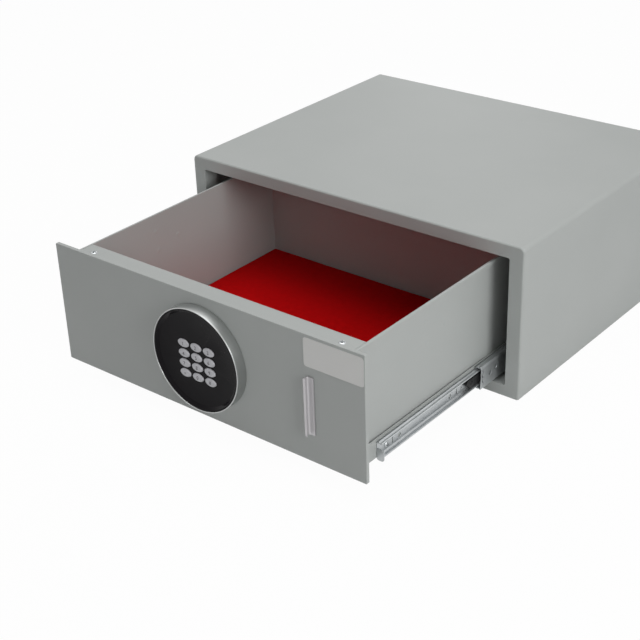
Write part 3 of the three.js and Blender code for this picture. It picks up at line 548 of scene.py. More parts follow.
def circuit_board():
    """Green solder mask over copper tracks that run square to the board."""
    made, tree, place = new_finish("green_solder_mask")
    track_pitch = 1.6 * mm
    tracks = add(
        tree,
        "ShaderNodeTexBrick",
        {"Vector": place, "Scale": 1 / (8 * track_pitch), "Mortar Size": 0.03},
    )
    tracks.inputs["Color1"].default_value = linear("174a2b")
    tracks.inputs["Color2"].default_value = linear("1b5331")
    tracks.inputs["Mortar"].default_value = linear("2c6f45")
    shader = add(
        tree,
        "ShaderNodeBsdfPrincipled",
        {"Base Color": tracks.outputs["Color"], "Roughness": 0.35},
    )
    add(tree, "ShaderNodeOutputMaterial", {"Surface": shader.outputs["BSDF"]})
    return made


def shrunk_sleeve():
    """The printed plastic sleeve of a cell, with a gold coloured band at its upper end."""
    made, tree, place = new_finish("shrunk_cell_sleeve")
    height = add(tree, "ShaderNodeSeparateXYZ", {"Vector": place}).outputs["Z"]
    band_height = 14 * mm
    band_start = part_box("battery_1")[1].z - band_height
    band = add(
        tree, "ShaderNodeMath", {0: height, 1: band_start}, operation="GREATER_THAN"
    ).outputs["Value"]
    colours = {"Factor": band, "A": linear("1e3a5c"), "B": linear("b08d4a")}
    colour = add(tree, "ShaderNodeMix", colours, data_type="RGBA").outputs["Result"]
    shader = add(
        tree,
        "ShaderNodeBsdfPrincipled",
        {"Base Color": colour, "Roughness": 0.3},
    )
    add(tree, "ShaderNodeOutputMaterial", {"Surface": shader.outputs["BSDF"]})
    return made


def finish_node(node, finish):
    """Gives a node of the part a finish in place of its plain colour."""
    materials = frame["nodes"][node].data.materials
    materials.clear()
    materials.append(finish)


board_green = circuit_board()
cell_sleeve = shrunk_sleeve()
for side in ("left", "right"):
    eased(f"lock_bolt_{side}", width=0.4 * mm, finish=bright_steel)
    eased(f"bolt_guide_{side}", width=0.4 * mm, finish=black_nylon)
eased("bolt_bar", width=0.2 * mm, finish=zinc_plated)
eased("lock_base_plate", width=0.2 * mm, finish=zinc_plated)
eased("gear_motor", width=0.3 * mm, finish=bright_steel)
eased("battery_holder", width=0.3 * mm, finish=black_nylon)
finish_node("drive_pinion", bright_steel)
finish_node("control_board", board_green)
cell_sides = 48
cell_edge = 0.6 * mm
contact_diameter = 5.5 * mm
contact_height = 1.2 * mm
for number in range(1, 5):
    low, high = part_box(f"battery_{number}")
    radius = (high.x - low.x) / 2
    turns = [math.radians(360 * i / cell_sides) for i in range(cell_sides)]
    middle = (low + high) / 2
    shoulder = high.z - contact_height
    ring = [(middle.x + radius * math.cos(a), middle.y + radius * math.sin(a)) for a in turns]
    cell = extruded(f"cell_{number}", ring, 2, low.z, shoulder, ease=cell_edge)
    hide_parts(f"battery_{number}")
    show(cell, "drawer", cell_sleeve)
    contact = from_tree(
        f"cell_contact_{number}",
        domes,
        [(middle.x, middle.y, shoulder)],
        diameter=contact_diameter,
        height=contact_height,
        turn=(0.0, 0.0, 0.0),
        finish=bright_steel,
    )
    show(contact, "drawer", bright_steel)

# Lock cover
# A folded shelf with a rear wall, of coated sheet, that closes the lock work off from the tray. Two
# screws hold it to the tray's ears.
eased("lock_cover", width=0.25 * mm, finish=powder_coated)

# Front panel
# A plate of 4 mm steel with eased edges, powder coated all round and screwed to the tray's front
# flanges.
eased("front_panel", width=0.6 * mm, finish=powder_coated, segments=3)

# Pull handle
# A length of extruded aluminium with a hooked section, cut square, satin anodised and fixed to the
# panel from behind.


def anodised():
    """Satin anodised aluminium: a soft white metal with extrusion lines along its length."""
    made, tree, place = new_finish("satin_anodised_aluminium")
    # Finer on the real piece, and drawn as coarse as it needs to show.
    line_width = 0.3 * mm
    line_length = 50 * mm
    stretched = add(
        tree,
        "ShaderNodeMapping",
        {"Vector": place, "Scale": (1 / line_width, 1 / line_width, 1 / line_length)},
    ).outputs["Vector"]
    lines = add(
        tree, "ShaderNodeTexNoise", {"Vector": stretched, "Scale": 1.0, "Detail": 2.0}
    ).outputs["Fac"]
    bump = add(tree, "ShaderNodeBump", {"Height": lines, "Strength": 0.2, "Distance": 0.02 * mm})
    colours = {"Factor": lines, "A": linear("bcbabc"), "B": linear("cbc9cb")}
    colour = add(tree, "ShaderNodeMix", colours, data_type="RGBA").outputs["Result"]
    satin = {"Value": lines, "To Min": 0.36, "To Max": 0.48}
    roughness = add(tree, "ShaderNodeMapRange", satin).outputs["Result"]
    shader = add(
        tree,
        "ShaderNodeBsdfPrincipled",
        {
            "Base Color": colour,
            "Metallic": 0.7,
            "Roughness": roughness,
            "Normal": bump.outputs["Normal"],
        },
    )
    add(tree, "ShaderNodeOutputMaterial", {"Surface": shader.outputs["BSDF"]})
    return made


aluminium = anodised()
handle_low, handle_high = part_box("pull_handle")
# The section in shares of the handle's box: across it from the left, and out from the panel.
hook = [
    (0.02, 0.0),
    (0.02, 0.78),
    (0.30, 0.78),
    (0.32, 0.76),
    (0.32, 0.66),
    (0.22, 0.62),
    (0.20, 0.34),
    (0.24, 0.25),
    (0.33, 0.19),
    (0.48, 0.15),
    (0.70, 0.14),
    (1.0, 0.16),
    (1.0, 0.0),
]
handle_width = handle_high.x - handle_low.x
handle_depth = handle_high.y - handle_low.y
hook_section = [
    (handle_low.x + share * handle_width, handle_high.y - out * handle_depth) for share, out in hook
]
handle = extruded("pull_handle_hook", hook_section, 2, handle_low.z, handle_high.z, ease=0.2 * mm)
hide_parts("pull_handle")
show(handle, "drawer", aluminium)

# Keypad ring
# A dish of steel, turned on a lathe and satin polished, that stands on the panel and holds the
# black face. The keypad's cable passes through the hole in its floor.


def satin_turned(centre):
    """Steel turned on a lathe and satin polished: fine rings round its axis."""
    made, tree, place = new_finish("satin_turned_steel")
    # Finer on the real piece, and drawn as coarse as it needs to show.
    turning_pitch = 0.25 * mm
    centred = add(tree, "ShaderNodeMapping", {"Vector": place, "Location": (-centre.x, 0, -centre.z)})
    apart = add(tree, "ShaderNodeSeparateXYZ", {"Vector": centred.outputs["Vector"]}).outputs
    flat = add(tree, "ShaderNodeCombineXYZ", {"X": apart["X"], "Z": apart["Z"]}).outputs["Vector"]
    radius = add(tree, "ShaderNodeVectorMath", {0: flat}, operation="LENGTH").outputs["Value"]
    rings = add(tree, "ShaderNodeCombineXYZ", {"X": radius, "Y": apart["Y"]}).outputs["Vector"]
    turning = add(
        tree, "ShaderNodeTexNoise", {"Vector": rings, "Scale": 1 / turning_pitch, "Detail": 2.0}
    ).outputs["Fac"]
    bump = add(tree, "ShaderNodeBump", {"Height": turning, "Strength": 0.3, "Distance": 0.015 * mm})
    colours = {"Factor": turning, "A": linear("b3b5b4"), "B": linear("c3c5c4")}
    colour = add(tree, "ShaderNodeMix", colours, data_type="RGBA").outputs["Result"]
    satin = {"Value": turning, "To Min": 0.28, "To Max": 0.4}
    roughness = add(tree, "ShaderNodeMapRange", satin).outputs["Result"]
    shader = add(
        tree,
        "ShaderNodeBsdfPrincipled",
        {
            "Base Color": colour,
            "Metallic": 1.0,
            "Roughness": roughness,
            "Normal": bump.outputs["Normal"],
        },
    )
    add(tree, "ShaderNodeOutputMaterial", {"Surface": shader.outputs["BSDF"]})
    return made


ring_low, ring_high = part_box("keypad_ring")
keypad_centre = (ring_low + ring_high) / 2
ring_radius = (ring_high.x - ring_low.x) / 2
panel_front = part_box("front_panel")[0].y


def arc(across, height, radius, first, last, steps):
    """Points on a round corner of a profile, between two angles in degrees."""
    angles = [math.radians(first + (last - first) * i / steps) for i in range(steps + 1)]
    return [(across + radius * math.cos(a), height + radius * math.sin(a)) for a in angles]


def turned(name, profile, sides=144):
    """Revolves a profile of (radius, height in front of the panel) round the keypad's axis."""
    shape = bmesh.new()
    rings = []
    for radius, height in profile:
        y = panel_front - height
        if radius < 1e-6:
            rings.append([shape.verts.new((keypad_centre.x, y, keypad_centre.z))])
            continue
        ring = []
        for i in range(sides):
            angle = 2 * math.pi * i / sides
            x = keypad_centre.x + radius * math.cos(angle)
            ring.append(shape.verts.new((x, y, keypad_centre.z + radius * math.sin(angle))))
        rings.append(ring)
    for one, two in zip(rings, rings[1:]):
        for i in range(sides):
            k = (i + 1) % sides
            corners = [one[i % len(one)], one[k % len(one)], two[k % len(two)], two[i % len(two)]]
            shape.faces.new(list(dict.fromkeys(corners)))
    bmesh.ops.recalc_face_normals(shape, faces=shape.faces)
    return from_shape(name, shape, angle=30)


ring_depth = panel_front - ring_low.y
ring_wall = 1.0 * mm
ring_floor = 2.3 * mm
cable_hole = 7 * mm
foot_round = 0.5 * mm
seat = 0.3 * mm
inner = ring_radius - ring_wall
edge = 0.6 * mm
lip_round = 0.39 * mm
ring_profile = [
    (cable_hole, seat),
    *arc(ring_radius - foot_round, seat + foot_round, foot_round, -90, 0, 4),
    *arc(ring_radius - edge, ring_depth - edge, edge, 0, 90, 8),
    *arc(inner + lip_round, ring_depth - lip_round, lip_round, 90, 180, 4),
    (inner, ring_floor),
    (cable_hole, ring_floor),
    (cable_hole, seat),
]
ring = turned("keypad_ring_turned", ring_profile)
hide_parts("keypad_ring")
show(ring, "drawer", satin_turned(keypad_centre))

# Keypad face
# A dished cover of polished black acrylic with a sloping rim, pressed into the ring, with an oval
# opening for each key. The rubber pad and the board lie under it.


def black_acrylic():
    """Polished black acrylic: deep black under a clear gloss, with the faintest polishing haze."""
    made, tree, place = new_finish("polished_black_acrylic")
    haze_size = 12 * mm
    haze = add(
        tree, "ShaderNodeTexNoise", {"Vector": place, "Scale": 1 / haze_size, "Detail": 3.0}
    ).outputs["Fac"]
    colours = {"Factor": haze, "A": linear("121013"), "B": linear("181619")}
    colour = add(tree, "ShaderNodeMix", colours, data_type="RGBA").outputs["Result"]
    satin = {"Value": haze, "To Min": 0.1, "To Max": 0.16}
    roughness = add(tree, "ShaderNodeMapRange", satin).outputs["Result"]
    shader = add(
        tree,
        "ShaderNodeBsdfPrincipled",
        {
            "Base Color": colour,
            "Roughness": roughness,
            "IOR": 1.49,
            "Specular IOR Level": 0.08,
        },
    )
    add(tree, "ShaderNodeOutputMaterial", {"Surface": shader.outputs["BSDF"]})
    return made


face_flat = 8.6 * mm
face_rim = 11.5 * mm
face_slope = 2.8 * mm
face_round = 0.5 * mm
face_wall = 1.4 * mm
face_foot = 3.0 * mm
face_step = 0.15 * mm
rim = inner - seat
face_profile = [
    (0, face_flat - face_wall),
    (rim - face_wall, face_flat - face_wall),
    (rim - face_wall, face_foot),
    (rim, face_foot),
    *arc(rim - face_round, face_rim - face_round, face_round, 0, 90, 5),
    *arc(rim - 2 * face_round, face_rim - face_round, face_round, 90, 135, 3),
    (rim - 2 * face_round - face_slope, face_flat + face_step),
    (rim - 3 * face_round - face_slope, face_flat),
    (0, face_flat),
]
key_boxes = [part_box(f"key_{number}") for number in range(1, 13)]
key_gap = 0.25 * mm
opening_front = 15 * mm
opening_back = 1 * mm


def oval(centre_x, centre_z, half_x, half_z, sides=40):
    """The points of an oval in the panel's plane."""
    angles = [2 * math.pi * i / sides for i in range(sides)]
    return [(centre_x + half_x * math.cos(a), centre_z + half_z * math.sin(a)) for a in angles]


face = turned("keypad_face_moulded", face_profile)
cutters = bmesh.new()
for low, high in key_boxes:
    outline = oval(
        (low.x + high.x) / 2,
        (low.z + high.z) / 2,
        (high.x - low.x) / 2 + key_gap,
        (high.z - low.z) / 2 + key_gap,
    )
    front = [cutters.verts.new((x, panel_front - opening_front, z)) for x, z in outline]
    back = [cutters.verts.new((x, panel_front - opening_back, z)) for x, z in outline]
    cutters.faces.new(front)
    cutters.faces.new(back[::-1])
    for i in range(len(outline)):
        k = (i + 1) % len(outline)
        cutters.faces.new((front[k], front[i], back[i], back[k]))
bmesh.ops.recalc_face_normals(cutters, faces=cutters.faces)
cutter = from_shape("key_openings", cutters)
opening = face.modifiers.new("key_openings", "BOOLEAN")
opening.object = cutter
opening.operation = "DIFFERENCE"
opening.solver = "EXACT"
settled(face)
bpy.data.objects.remove(cutter)
smooth(face.data, angle=30)
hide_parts("keypad_face")
show(face, "drawer", black_acrylic())
finish_node("keypad_board", board_green)


def moulded_rubber():
    """Grey silicone rubber with a matt, slightly dusty skin."""
    made, tree, place = new_finish("moulded_grey_rubber")
    dust_size = 0.6 * mm
    dust = add(
        tree, "ShaderNodeTexNoise", {"Vector": place, "Scale": 1 / dust_size, "Detail": 3.0}
    ).outputs["Fac"]
    colours = {"Factor": dust, "A": linear("4f5254"), "B": linear("5c5f61")}
    colour = add(tree, "ShaderNodeMix", colours, data_type="RGBA").outputs["Result"]
    shader = add(
        tree,
        "ShaderNodeBsdfPrincipled",
        {"Base Color": colour, "Roughness": 0.75},
    )
    add(tree, "ShaderNodeOutputMaterial", {"Surface": shader.outputs["BSDF"]})
    return made


finish_node("keypad_rubber_pad", moulded_rubber())

# Keys
# Twelve oval caps, moulded and painted silver grey, each with a softly crowned top and a small dark
# printed figure.


def painted_key():
    """Silver grey paint on moulded plastic, with fine flake in it."""
    made, tree, place = new_finish("silver_painted_keys")
    # Finer on the real piece, and drawn as coarse as it needs to show.
    flake_size = 0.3 * mm
    flake = add(
        tree, "ShaderNodeTexNoise", {"Vector": place, "Scale": 1 / flake_size, "Detail": 2.0}
    ).outputs["Fac"]
    colours = {"Factor": flake, "A": linear("b9b9bd"), "B": linear("cacace")}
    colour = add(tree, "ShaderNodeMix", colours, data_type="RGBA").outputs["Result"]
    satin = {"Value": flake, "To Min": 0.32, "To Max": 0.45}
    roughness = add(tree, "ShaderNodeMapRange", satin).outputs["Result"]
    shader = add(
        tree,
        "ShaderNodeBsdfPrincipled",
        {
            "Base Color": colour,
            "Metallic": 0.15,
            "Roughness": roughness,
        },
    )
    add(tree, "ShaderNodeOutputMaterial", {"Surface": shader.outputs["BSDF"]})
    return made


def printed_ink():
    """Dark grey pad printing ink, slightly matt and a little uneven."""
    made, tree, place = new_finish("dark_printing_ink")
    blot_size = 0.5 * mm
    blot = add(
        tree, "ShaderNodeTexNoise", {"Vector": place, "Scale": 1 / blot_size, "Detail": 2.0}
    ).outputs["Fac"]
    colours = {"Factor": blot, "A": linear("2c2a30"), "B": linear("3a383f")}
    colour = add(tree, "ShaderNodeMix", colours, data_type="RGBA").outputs["Result"]
    shader = add(
        tree,
        "ShaderNodeBsdfPrincipled",
        {"Base Color": colour, "Roughness": 0.6},
    )
    add(tree, "ShaderNodeOutputMaterial", {"Surface": shader.outputs["BSDF"]})
    return made


silver_key = painted_key()
key_ink = printed_ink()
key_figures = "123456789*0#"
key_round = 1.1 * mm
key_crown = 0.35 * mm
key_round_steps = 6
key_crown_shares = (0.55, 0.8)
figure_height = 3.4 * mm
figure_depth = 0.2 * mm
figure_sunk = 0.08 * mm
capital_share = 0.7


def key_cap(number, low, high):
    """A cap: straight skirt, rounded shoulder and a crown that rises a little to its middle."""
    shape = bmesh.new()
    centre = (low + high) / 2
    half_x = (high.x - low.x) / 2
    half_z = (high.z - low.z) / 2
    shoulder = low.y + key_crown + key_round
    levels = [(0.0, high.y)]
    for i in range(key_round_steps + 1):
        angle = math.pi / 2 * i / key_round_steps
        inset = key_round * (1 - math.cos(angle))
        levels.append((inset, shoulder - key_round * math.sin(angle)))
    for share in key_crown_shares:
        crowned = low.y + key_crown * (1 - share) ** 2
        levels.append((key_round + share * (half_z - key_round), crowned))
    rings = []
    for inset, y in levels:
        points = oval(centre.x, centre.z, half_x - inset, half_z - inset)
        rings.append([shape.verts.new((x, y, z)) for x, z in points])
    for one, two in zip(rings, rings[1:]):
        for i in range(len(one)):
            k = (i + 1) % len(one)
            shape.faces.new((one[i], one[k], two[k], two[i]))
    tip = shape.verts.new((centre.x, low.y, centre.z))
    last = rings[-1]
    for i in range(len(last)):
        shape.faces.new((last[i], last[(i + 1) % len(last)], tip))
    shape.faces.new(rings[0][::-1])
    bmesh.ops.recalc_face_normals(shape, faces=shape.faces)
    return from_shape(f"key_cap_{number}", shape, angle=50)


def raised_text(name, letters, height, depth, centre, front):
    """A figure as a thin solid in a face that looks towards -Y, with its middle at the place in front."""
    curve = bpy.data.curves.new(name, "FONT")
    curve.body = letters
    curve.size = height / capital_share
    curve.align_x = "CENTER"
    curve.align_y = "CENTER"
    curve.extrude = depth / 2
    text = bpy.data.objects.new(name, curve)
    scene.collection.objects.link(text)
    graph = bpy.context.evaluated_depsgraph_get()
    mesh = bpy.data.meshes.new_from_object(text.evaluated_get(graph))
    bpy.data.objects.remove(text)
    low = Vector([min(v.co[i] for v in mesh.vertices) for i in range(3)])
    high = Vector([max(v.co[i] for v in mesh.vertices) for i in range(3)])
    mesh.transform(Matrix.Translation(-(low + high) / 2))
    mesh.transform(Matrix.Rotation(math.pi / 2, 4, "X"))
    mesh.transform(Matrix.Translation((centre.x, front, centre.z)))
    return bpy.data.objects.new(name, mesh)


for number, (low, high) in enumerate(key_boxes, start=1):
    cap = key_cap(number, low, high)
    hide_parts(f"key_{number}")
    show(cap, f"key_{number}", silver_key)
    figure = raised_text(
        f"key_figure_{number}",
        key_figures[number - 1],
        figure_height,
        figure_depth,
        (low + high) / 2,
        low.y + figure_sunk,
    )
    show(figure, f"key_{number}", key_ink)

# Bare plate
# A thin white lacquered aluminium plate with round corners, punched from sheet and stuck to the
# panel's upper right corner.


def white_lacquer():
    """Silvery white lacquer on thin aluminium, with a soft sheen."""
    made, tree, place = new_finish("silver_white_lacquered_plate")
    grain_size = 0.5 * mm
    grain = add(
        tree, "ShaderNodeTexNoise", {"Vector": place, "Scale": 1 / grain_size, "Detail": 2.0}
    ).outputs["Fac"]
    colours = {"Factor": grain, "A": linear("c8c8c6"), "B": linear("d4d4d2")}
    colour = add(tree, "ShaderNodeMix", colours, data_type="RGBA").outputs["Result"]
    satin = {"Value": grain, "To Min": 0.3, "To Max": 0.4}
    roughness = add(tree, "ShaderNodeMapRange", satin).outputs["Result"]
    shader = add(
        tree,
        "ShaderNodeBsdfPrincipled",
        {
            "Base Color": colour,
            "Roughness": roughness,
            "Metallic": 0.2,
        },
    )
    add(tree, "ShaderNodeOutputMaterial", {"Surface": shader.outputs["BSDF"]})
    return made


plate_left, plate_right = 122 * mm, 186 * mm
plate_base, plate_top = 113 * mm, 141 * mm
plate_corner = 3 * mm
plate_thickness = 0.4 * mm
plate_edge = 0.15 * mm
glue_gap = 0.02 * mm
plate_outline = [
    *arc(plate_right - plate_corner, plate_top - plate_corner, plate_corner, 0, 90, 6),
    *arc(plate_left + plate_corner, plate_top - plate_corner, plate_corner, 90, 180, 6),
    *arc(plate_left + plate_corner, plate_base + plate_corner, plate_corner, 180, 270, 6),
    *arc(plate_right - plate_corner, plate_base + plate_corner, plate_corner, 270, 360, 6),
]
plate_shape = bmesh.new()
plate_shape.faces.new(
    [plate_shape.verts.new((x, panel_front - glue_gap, z)) for x, z in plate_outline]
)
raised = bmesh.ops.extrude_face_region(plate_shape, geom=list(plate_shape.faces))
moved = [v for v in raised["geom"] if isinstance(v, bmesh.types.BMVert)]
bmesh.ops.translate(plate_shape, verts=moved, vec=(0, -plate_thickness, 0))
bmesh.ops.recalc_face_normals(plate_shape, faces=plate_shape.faces)
front_edges = [
    e for e in plate_shape.edges if all(v.co.y < panel_front - plate_thickness for v in e.verts)
]
bmesh.ops.bevel(plate_shape, geom=front_edges, offset=plate_edge, segments=2, affect="EDGES")
plate = from_shape("bare_plate", plate_shape)
show(plate, "drawer", white_lacquer())

# Screws
# Zinc plated raised head screws with a cross recess: two hold the cover's shelf to the tray's ears,
# and others hold the drawer members to the rails.


recess_length = 0.66
recess_depth = 1.7


def screw_tree():
    """A raised head with a cross recess, on each vertex of the carrying mesh. The recess is as
    long and as deep as its shares of the head's diameter and height."""
    tree, given = new_tree(
        "cross_recess_screws",
        head_diameter="Float",
        head_height="Float",
        recess_width="Float",
        turn="Vector",
        finish="Material",
    )
    head = dome(tree, given["Head diameter"], given["Head height"], 32)
    length = add(
        tree, "ShaderNodeMath", {0: given["Head diameter"], 1: recess_length}, operation="MULTIPLY"
    ).outputs["Value"]
    depth = add(
        tree, "ShaderNodeMath", {0: given["Head height"], 1: recess_depth}, operation="MULTIPLY"
    ).outputs["Value"]
    lift = add(tree, "ShaderNodeCombineXYZ", {"Z": given["Head height"]}).outputs["Vector"]
    for x_size, y_size in ((length, given["Recess width"]), (given["Recess width"], length)):
        size = add(
            tree, "ShaderNodeCombineXYZ", {"X": x_size, "Y": y_size, "Z": depth}
        ).outputs["Vector"]
        bar = add(tree, "GeometryNodeMeshCube", {"Size": size}).outputs["Mesh"]
        slot = add(
            tree, "GeometryNodeTransform", {"Geometry": bar, "Translation": lift}
        ).outputs["Geometry"]
        cut = add(tree, "GeometryNodeMeshBoolean", operation="DIFFERENCE")
        tree.links.new(head, cut.inputs["Mesh 1"])
        tree.links.new(slot, cut.inputs["Mesh 2"])
        head = cut.outputs["Mesh"]
    return set_on_places(tree, head, given["Places"], given["Turn"], given["Finish"])


screws = screw_tree()
screw_diameter = 6.4 * mm
cover_low, cover_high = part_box("lock_cover")
cover_screw_x = 151.3 * mm
cover_screw_from_front = 11.2 * mm
cover_screw_turn = 0.5  # in radians
cover_screws = from_tree(
    "cover_screws",
    screws,
    [
        (sign * cover_screw_x, cover_low.y + cover_screw_from_front, cover_high.z)
        for sign in (-1, 1)
    ],
    head_diameter=screw_diameter,
    head_height=1.1 * mm,
    recess_width=1.5 * mm,
    turn=(0.0, 0.0, cover_screw_turn),
    finish=zinc_plated,
)
show(cover_screws, "drawer", zinc_plated)
runner_screw_from_front = 13.5 * mm
runner_screw_height = 26.4 * mm
runner_screw_x = 171.6 * mm
for side, sign in (("left", -1), ("right", 1)):
    low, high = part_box(f"drawer_runner_{side}")
    runner_screw = from_tree(
        f"runner_screw_{side}",
        screws,
        [(sign * runner_screw_x, low.y + runner_screw_from_front, runner_screw_height)],
        head_diameter=screw_diameter,
        head_height=1.5 * mm,
        recess_width=1.1 * mm,
        turn=(0.0, sign * math.pi / 2, 0.0),
        finish=zinc_plated,
    )
    show(runner_screw, "drawer", zinc_plated)

# Floor mat
# A loose mat of red needle felt, cut to the tray's floor, with a fine fuzz of fibres on its face.
# It lies there by its own weight.


def needle_felt():
    """Polyester needle felt: matted red fibres, with a painted highlight on the fibre ends and painted
    shade in its soft hollows.
    """
    made, tree, place = new_finish("red_needle_felt")
    # Finer on the real piece, and drawn as coarse as it needs to show.
    fibre_size = 0.8 * mm
    hollow_shade_size = 6 * mm
    fibre = add(
        tree,
        "ShaderNodeTexNoise",
        {"Vector": place, "Scale": 1 / fibre_size, "Detail": 5.0, "Roughness": 0.7},
    ).outputs["Fac"]
    hollow_shade = add(
        tree, "ShaderNodeTexNoise", {"Vector": place, "Scale": 1 / hollow_shade_size, "Detail": 3.0}
    ).outputs["Fac"]
    mottle = add(
        tree, "ShaderNodeMix", {"Factor": 0.5, "A": fibre, "B": hollow_shade}, data_type="FLOAT"
    ).outputs["Result"]
    bump = add(tree, "ShaderNodeBump", {"Height": fibre, "Strength": 0.8, "Distance": 0.5 * mm})
    # The red is painted lighter on the raised fibre ends and darker in the hollows: a painted highlight
    # and painted shade.
    colours = {"Factor": mottle, "A": linear("9a0205"), "B": linear("d0060a")}
    colour = add(tree, "ShaderNodeMix", colours, data_type="RGBA").outputs["Result"]
    shader = add(
        tree,
        "ShaderNodeBsdfPrincipled",
        {
            "Base Color": colour,
            "Roughness": 0.95,
            "Specular IOR Level": 0.06,
            "Sheen Weight": 0.25,
            "Sheen Roughness": 0.5,
            "Sheen Tint": linear("b01014"),
            "Normal": bump.outputs["Normal"],
        },
    )
    add(tree, "ShaderNodeOutputMaterial", {"Surface": shader.outputs["BSDF"]})
    return made


mat_low, mat_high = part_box("floor_mat")
felt = needle_felt()
mat_steps_x = 120
mat_steps_y = 96
mat_margin = 0.6 * mm
mat_edge = 0.5 * mm
fibre_room = 0.3 * mm
# The cut edges wander by up to half a millimetre.
mat_shape = bmesh.new()
bmesh.ops.create_grid(mat_shape, x_segments=mat_steps_x, y_segments=mat_steps_y, size=0.5)
for vert in mat_shape.verts:
    across = vert.co.x + 0.5
    along = vert.co.y + 0.5
    wave_x = (0.3 * math.sin(7 * along) + 0.2 * math.sin(18 * along + 1)) * mm * (2 * across - 1)
    wave_y = (0.3 * math.sin(8 * across + 1) + 0.2 * math.sin(21 * across)) * mm * (2 * along - 1)
    vert.co.x = mat_low.x + mat_margin + across * (mat_high.x - mat_low.x - 2 * mat_margin) + wave_x
    vert.co.y = mat_low.y + mat_margin + along * (mat_high.y - mat_low.y - 2 * mat_margin) + wave_y
    vert.co.z = mat_low.z
mat = from_shape("felt_mat", mat_shape)
thick = mat.modifiers.new("thickness", "SOLIDIFY")
thick.thickness = mat_high.z - mat_low.z - fibre_room
thick.offset = 1.0
soft_edge = mat.modifiers.new("soft_edge", "BEVEL")
soft_edge.width = mat_edge
soft_edge.segments = 2
settled(mat)
smooth(mat.data, angle=60)
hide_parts("floor_mat")
show(mat, "drawer", felt)


def fibre_tree():
    """Fibre ends that lie about on a face, as slim three-sided cones at chance turns and lengths."""
    tree, given = new_tree(
        "felt_fibres", density="Float", length="Float", thickness="Float", seed="Int", finish="Material"
    )
    spread = add(
        tree,
        "GeometryNodeDistributePointsOnFaces",
        {"Mesh": given["Places"], "Density": given["Density"], "Seed": given["Seed"]},
    ).outputs["Points"]
    fibre = add(
        tree,
        "GeometryNodeMeshCone",
        {"Vertices": 3, "Radius Top": 0.0, "Radius Bottom": given["Thickness"], "Depth": given["Length"]},
    ).outputs["Mesh"]
    least_lean, most_lean = math.radians(82), math.radians(90)
    least_size, most_size = 0.5, 1.2
    turn = add(
        tree,
        "FunctionNodeRandomValue",
        {
            "Seed": given["Seed"],
            "Min": (least_lean, 0.0, 0.0),
            "Max": (most_lean, 0.0, 2 * math.pi),
        },
        data_type="FLOAT_VECTOR",
    ).outputs["Value"]
    size = add(
        tree,
        "FunctionNodeRandomValue",
        {"Seed": given["Seed"], "Min": least_size, "Max": most_size},
        data_type="FLOAT",
    ).outputs["Value"]
    return set_on_places(tree, fibre, spread, turn, given["Finish"], size)


fibre_inset = 2.5 * mm
fibre_count = 6000
fibre_length = 3 * mm
fibre_thickness = 0.06 * mm
fibre_face = mat_high.z - fibre_room
fibre_area = (mat_high.x - mat_low.x) * (mat_high.y - mat_low.y)
fibres = from_tree(
    "felt_fibres",
    fibre_tree(),
    [
        (mat_low.x + fibre_inset, mat_low.y + fibre_inset, fibre_face),
        (mat_high.x - fibre_inset, mat_low.y + fibre_inset, fibre_face),
        (mat_high.x - fibre_inset, mat_high.y - fibre_inset, fibre_face),
        (mat_low.x + fibre_inset, mat_high.y - fibre_inset, fibre_face),
    ],
    [(0, 1, 2, 3)],
    density=fibre_count / fibre_area,
    length=fibre_length,
    thickness=fibre_thickness,
    seed=4,
    finish=felt,
)
show(fibres, "drawer", felt)

# Studio
# A pale floor under a plain white surround, a large soft lamp overhead, one beside the camera and one
# low behind the case.


def pale_floor():
    """A pale matt floor. The view sees it nearly white, and it keeps a little of the shadow."""
    made, tree, _ = new_finish("pale_studio_floor")
    mirror_share = 0.75
    view_share = 0.97
    ray = add(tree, "ShaderNodeLightPath").outputs
    mirrored = add(
        tree, "ShaderNodeMath", {0: ray["Is Glossy Ray"], 1: mirror_share}, operation="MULTIPLY"
    ).outputs["Value"]
    share = add(
        tree,
        "ShaderNodeMath",
        {0: ray["Is Camera Ray"], 1: view_share, 2: mirrored},
        operation="MULTIPLY_ADD",
    ).outputs["Value"]
    matt = add(tree, "ShaderNodeBsdfDiffuse", {"Color": linear("e6e6e6")}).outputs["BSDF"]
    white = add(tree, "ShaderNodeEmission", {"Color": (1.0, 1.0, 1.0, 1.0), "Strength": 1.0})
    mix = add(tree, "ShaderNodeMixShader", {0: share, 1: matt, 2: white.outputs["Emission"]})
    add(tree, "ShaderNodeOutputMaterial", {"Surface": mix.outputs["Shader"]})
    return made


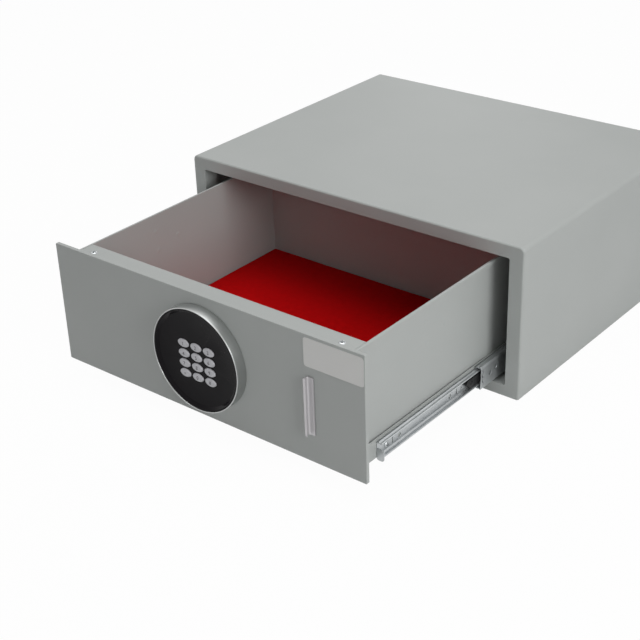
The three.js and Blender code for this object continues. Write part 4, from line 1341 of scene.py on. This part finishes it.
floor_half = 4.0
floor_gap = 0.2 * mm
floor_mesh = bpy.data.meshes.new("floor")
floor_corners = [(-1, -1), (1, -1), (1, 1), (-1, 1)]
floor_mesh.from_pydata(
    [(x * floor_half, y * floor_half, -floor_gap) for x, y in floor_corners], [], [(0, 1, 2, 3)]
)
floor = bpy.data.objects.new("floor", floor_mesh)
scene.collection.objects.link(floor)
floor_mesh.materials.append(pale_floor())
floor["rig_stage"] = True

world = bpy.data.worlds.new("studio")
world.use_nodes = True
world.node_tree.nodes.clear()
sky = world.node_tree
ray = add(sky, "ShaderNodeLightPath").outputs
direct = add(
    sky, "ShaderNodeMath", {0: ray["Is Camera Ray"], 1: ray["Is Glossy Ray"]}, operation="MAXIMUM"
).outputs["Value"]
clear = add(
    sky, "ShaderNodeMath", {0: direct, 1: ray["Is Transmission Ray"]}, operation="MAXIMUM"
).outputs["Value"]
fill_light = 0.2
strength = add(
    sky, "ShaderNodeMapRange", {"Value": clear, "To Min": fill_light, "To Max": 1.0}
).outputs["Result"]
surround = add(sky, "ShaderNodeBackground", {"Color": (1.0, 1.0, 1.0, 1.0), "Strength": strength})
add(sky, "ShaderNodeOutputWorld", {"Surface": surround.outputs["Background"]})
scene.world = world


def soft_lamp(name, place, target, size, power):
    """A square area lamp that faces a target."""
    data = bpy.data.lights.new(name, "AREA")
    data.shape = "SQUARE"
    data.size = size
    data.energy = power
    lamp = bpy.data.objects.new(name, data)
    scene.collection.objects.link(lamp)
    aim = (Vector(target) - Vector(place)).to_track_quat("-Z", "Y")
    lamp.matrix_world = Matrix.Translation(place) @ aim.to_matrix().to_4x4()


soft_lamp("overhead_lamp", (-0.1, -0.28, 1.9), target=(0.0, -0.1, 0.0), size=1.5, power=18.5)
soft_lamp("side_lamp", (1.9, -0.65, 0.85), target=(0.0, -0.2, 0.1), size=1.0, power=19)
soft_lamp("rear_lamp", (-1.3, 2.0, 0.3), target=(0.0, 0.0, 0.08), size=0.5, power=4)

low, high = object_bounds()
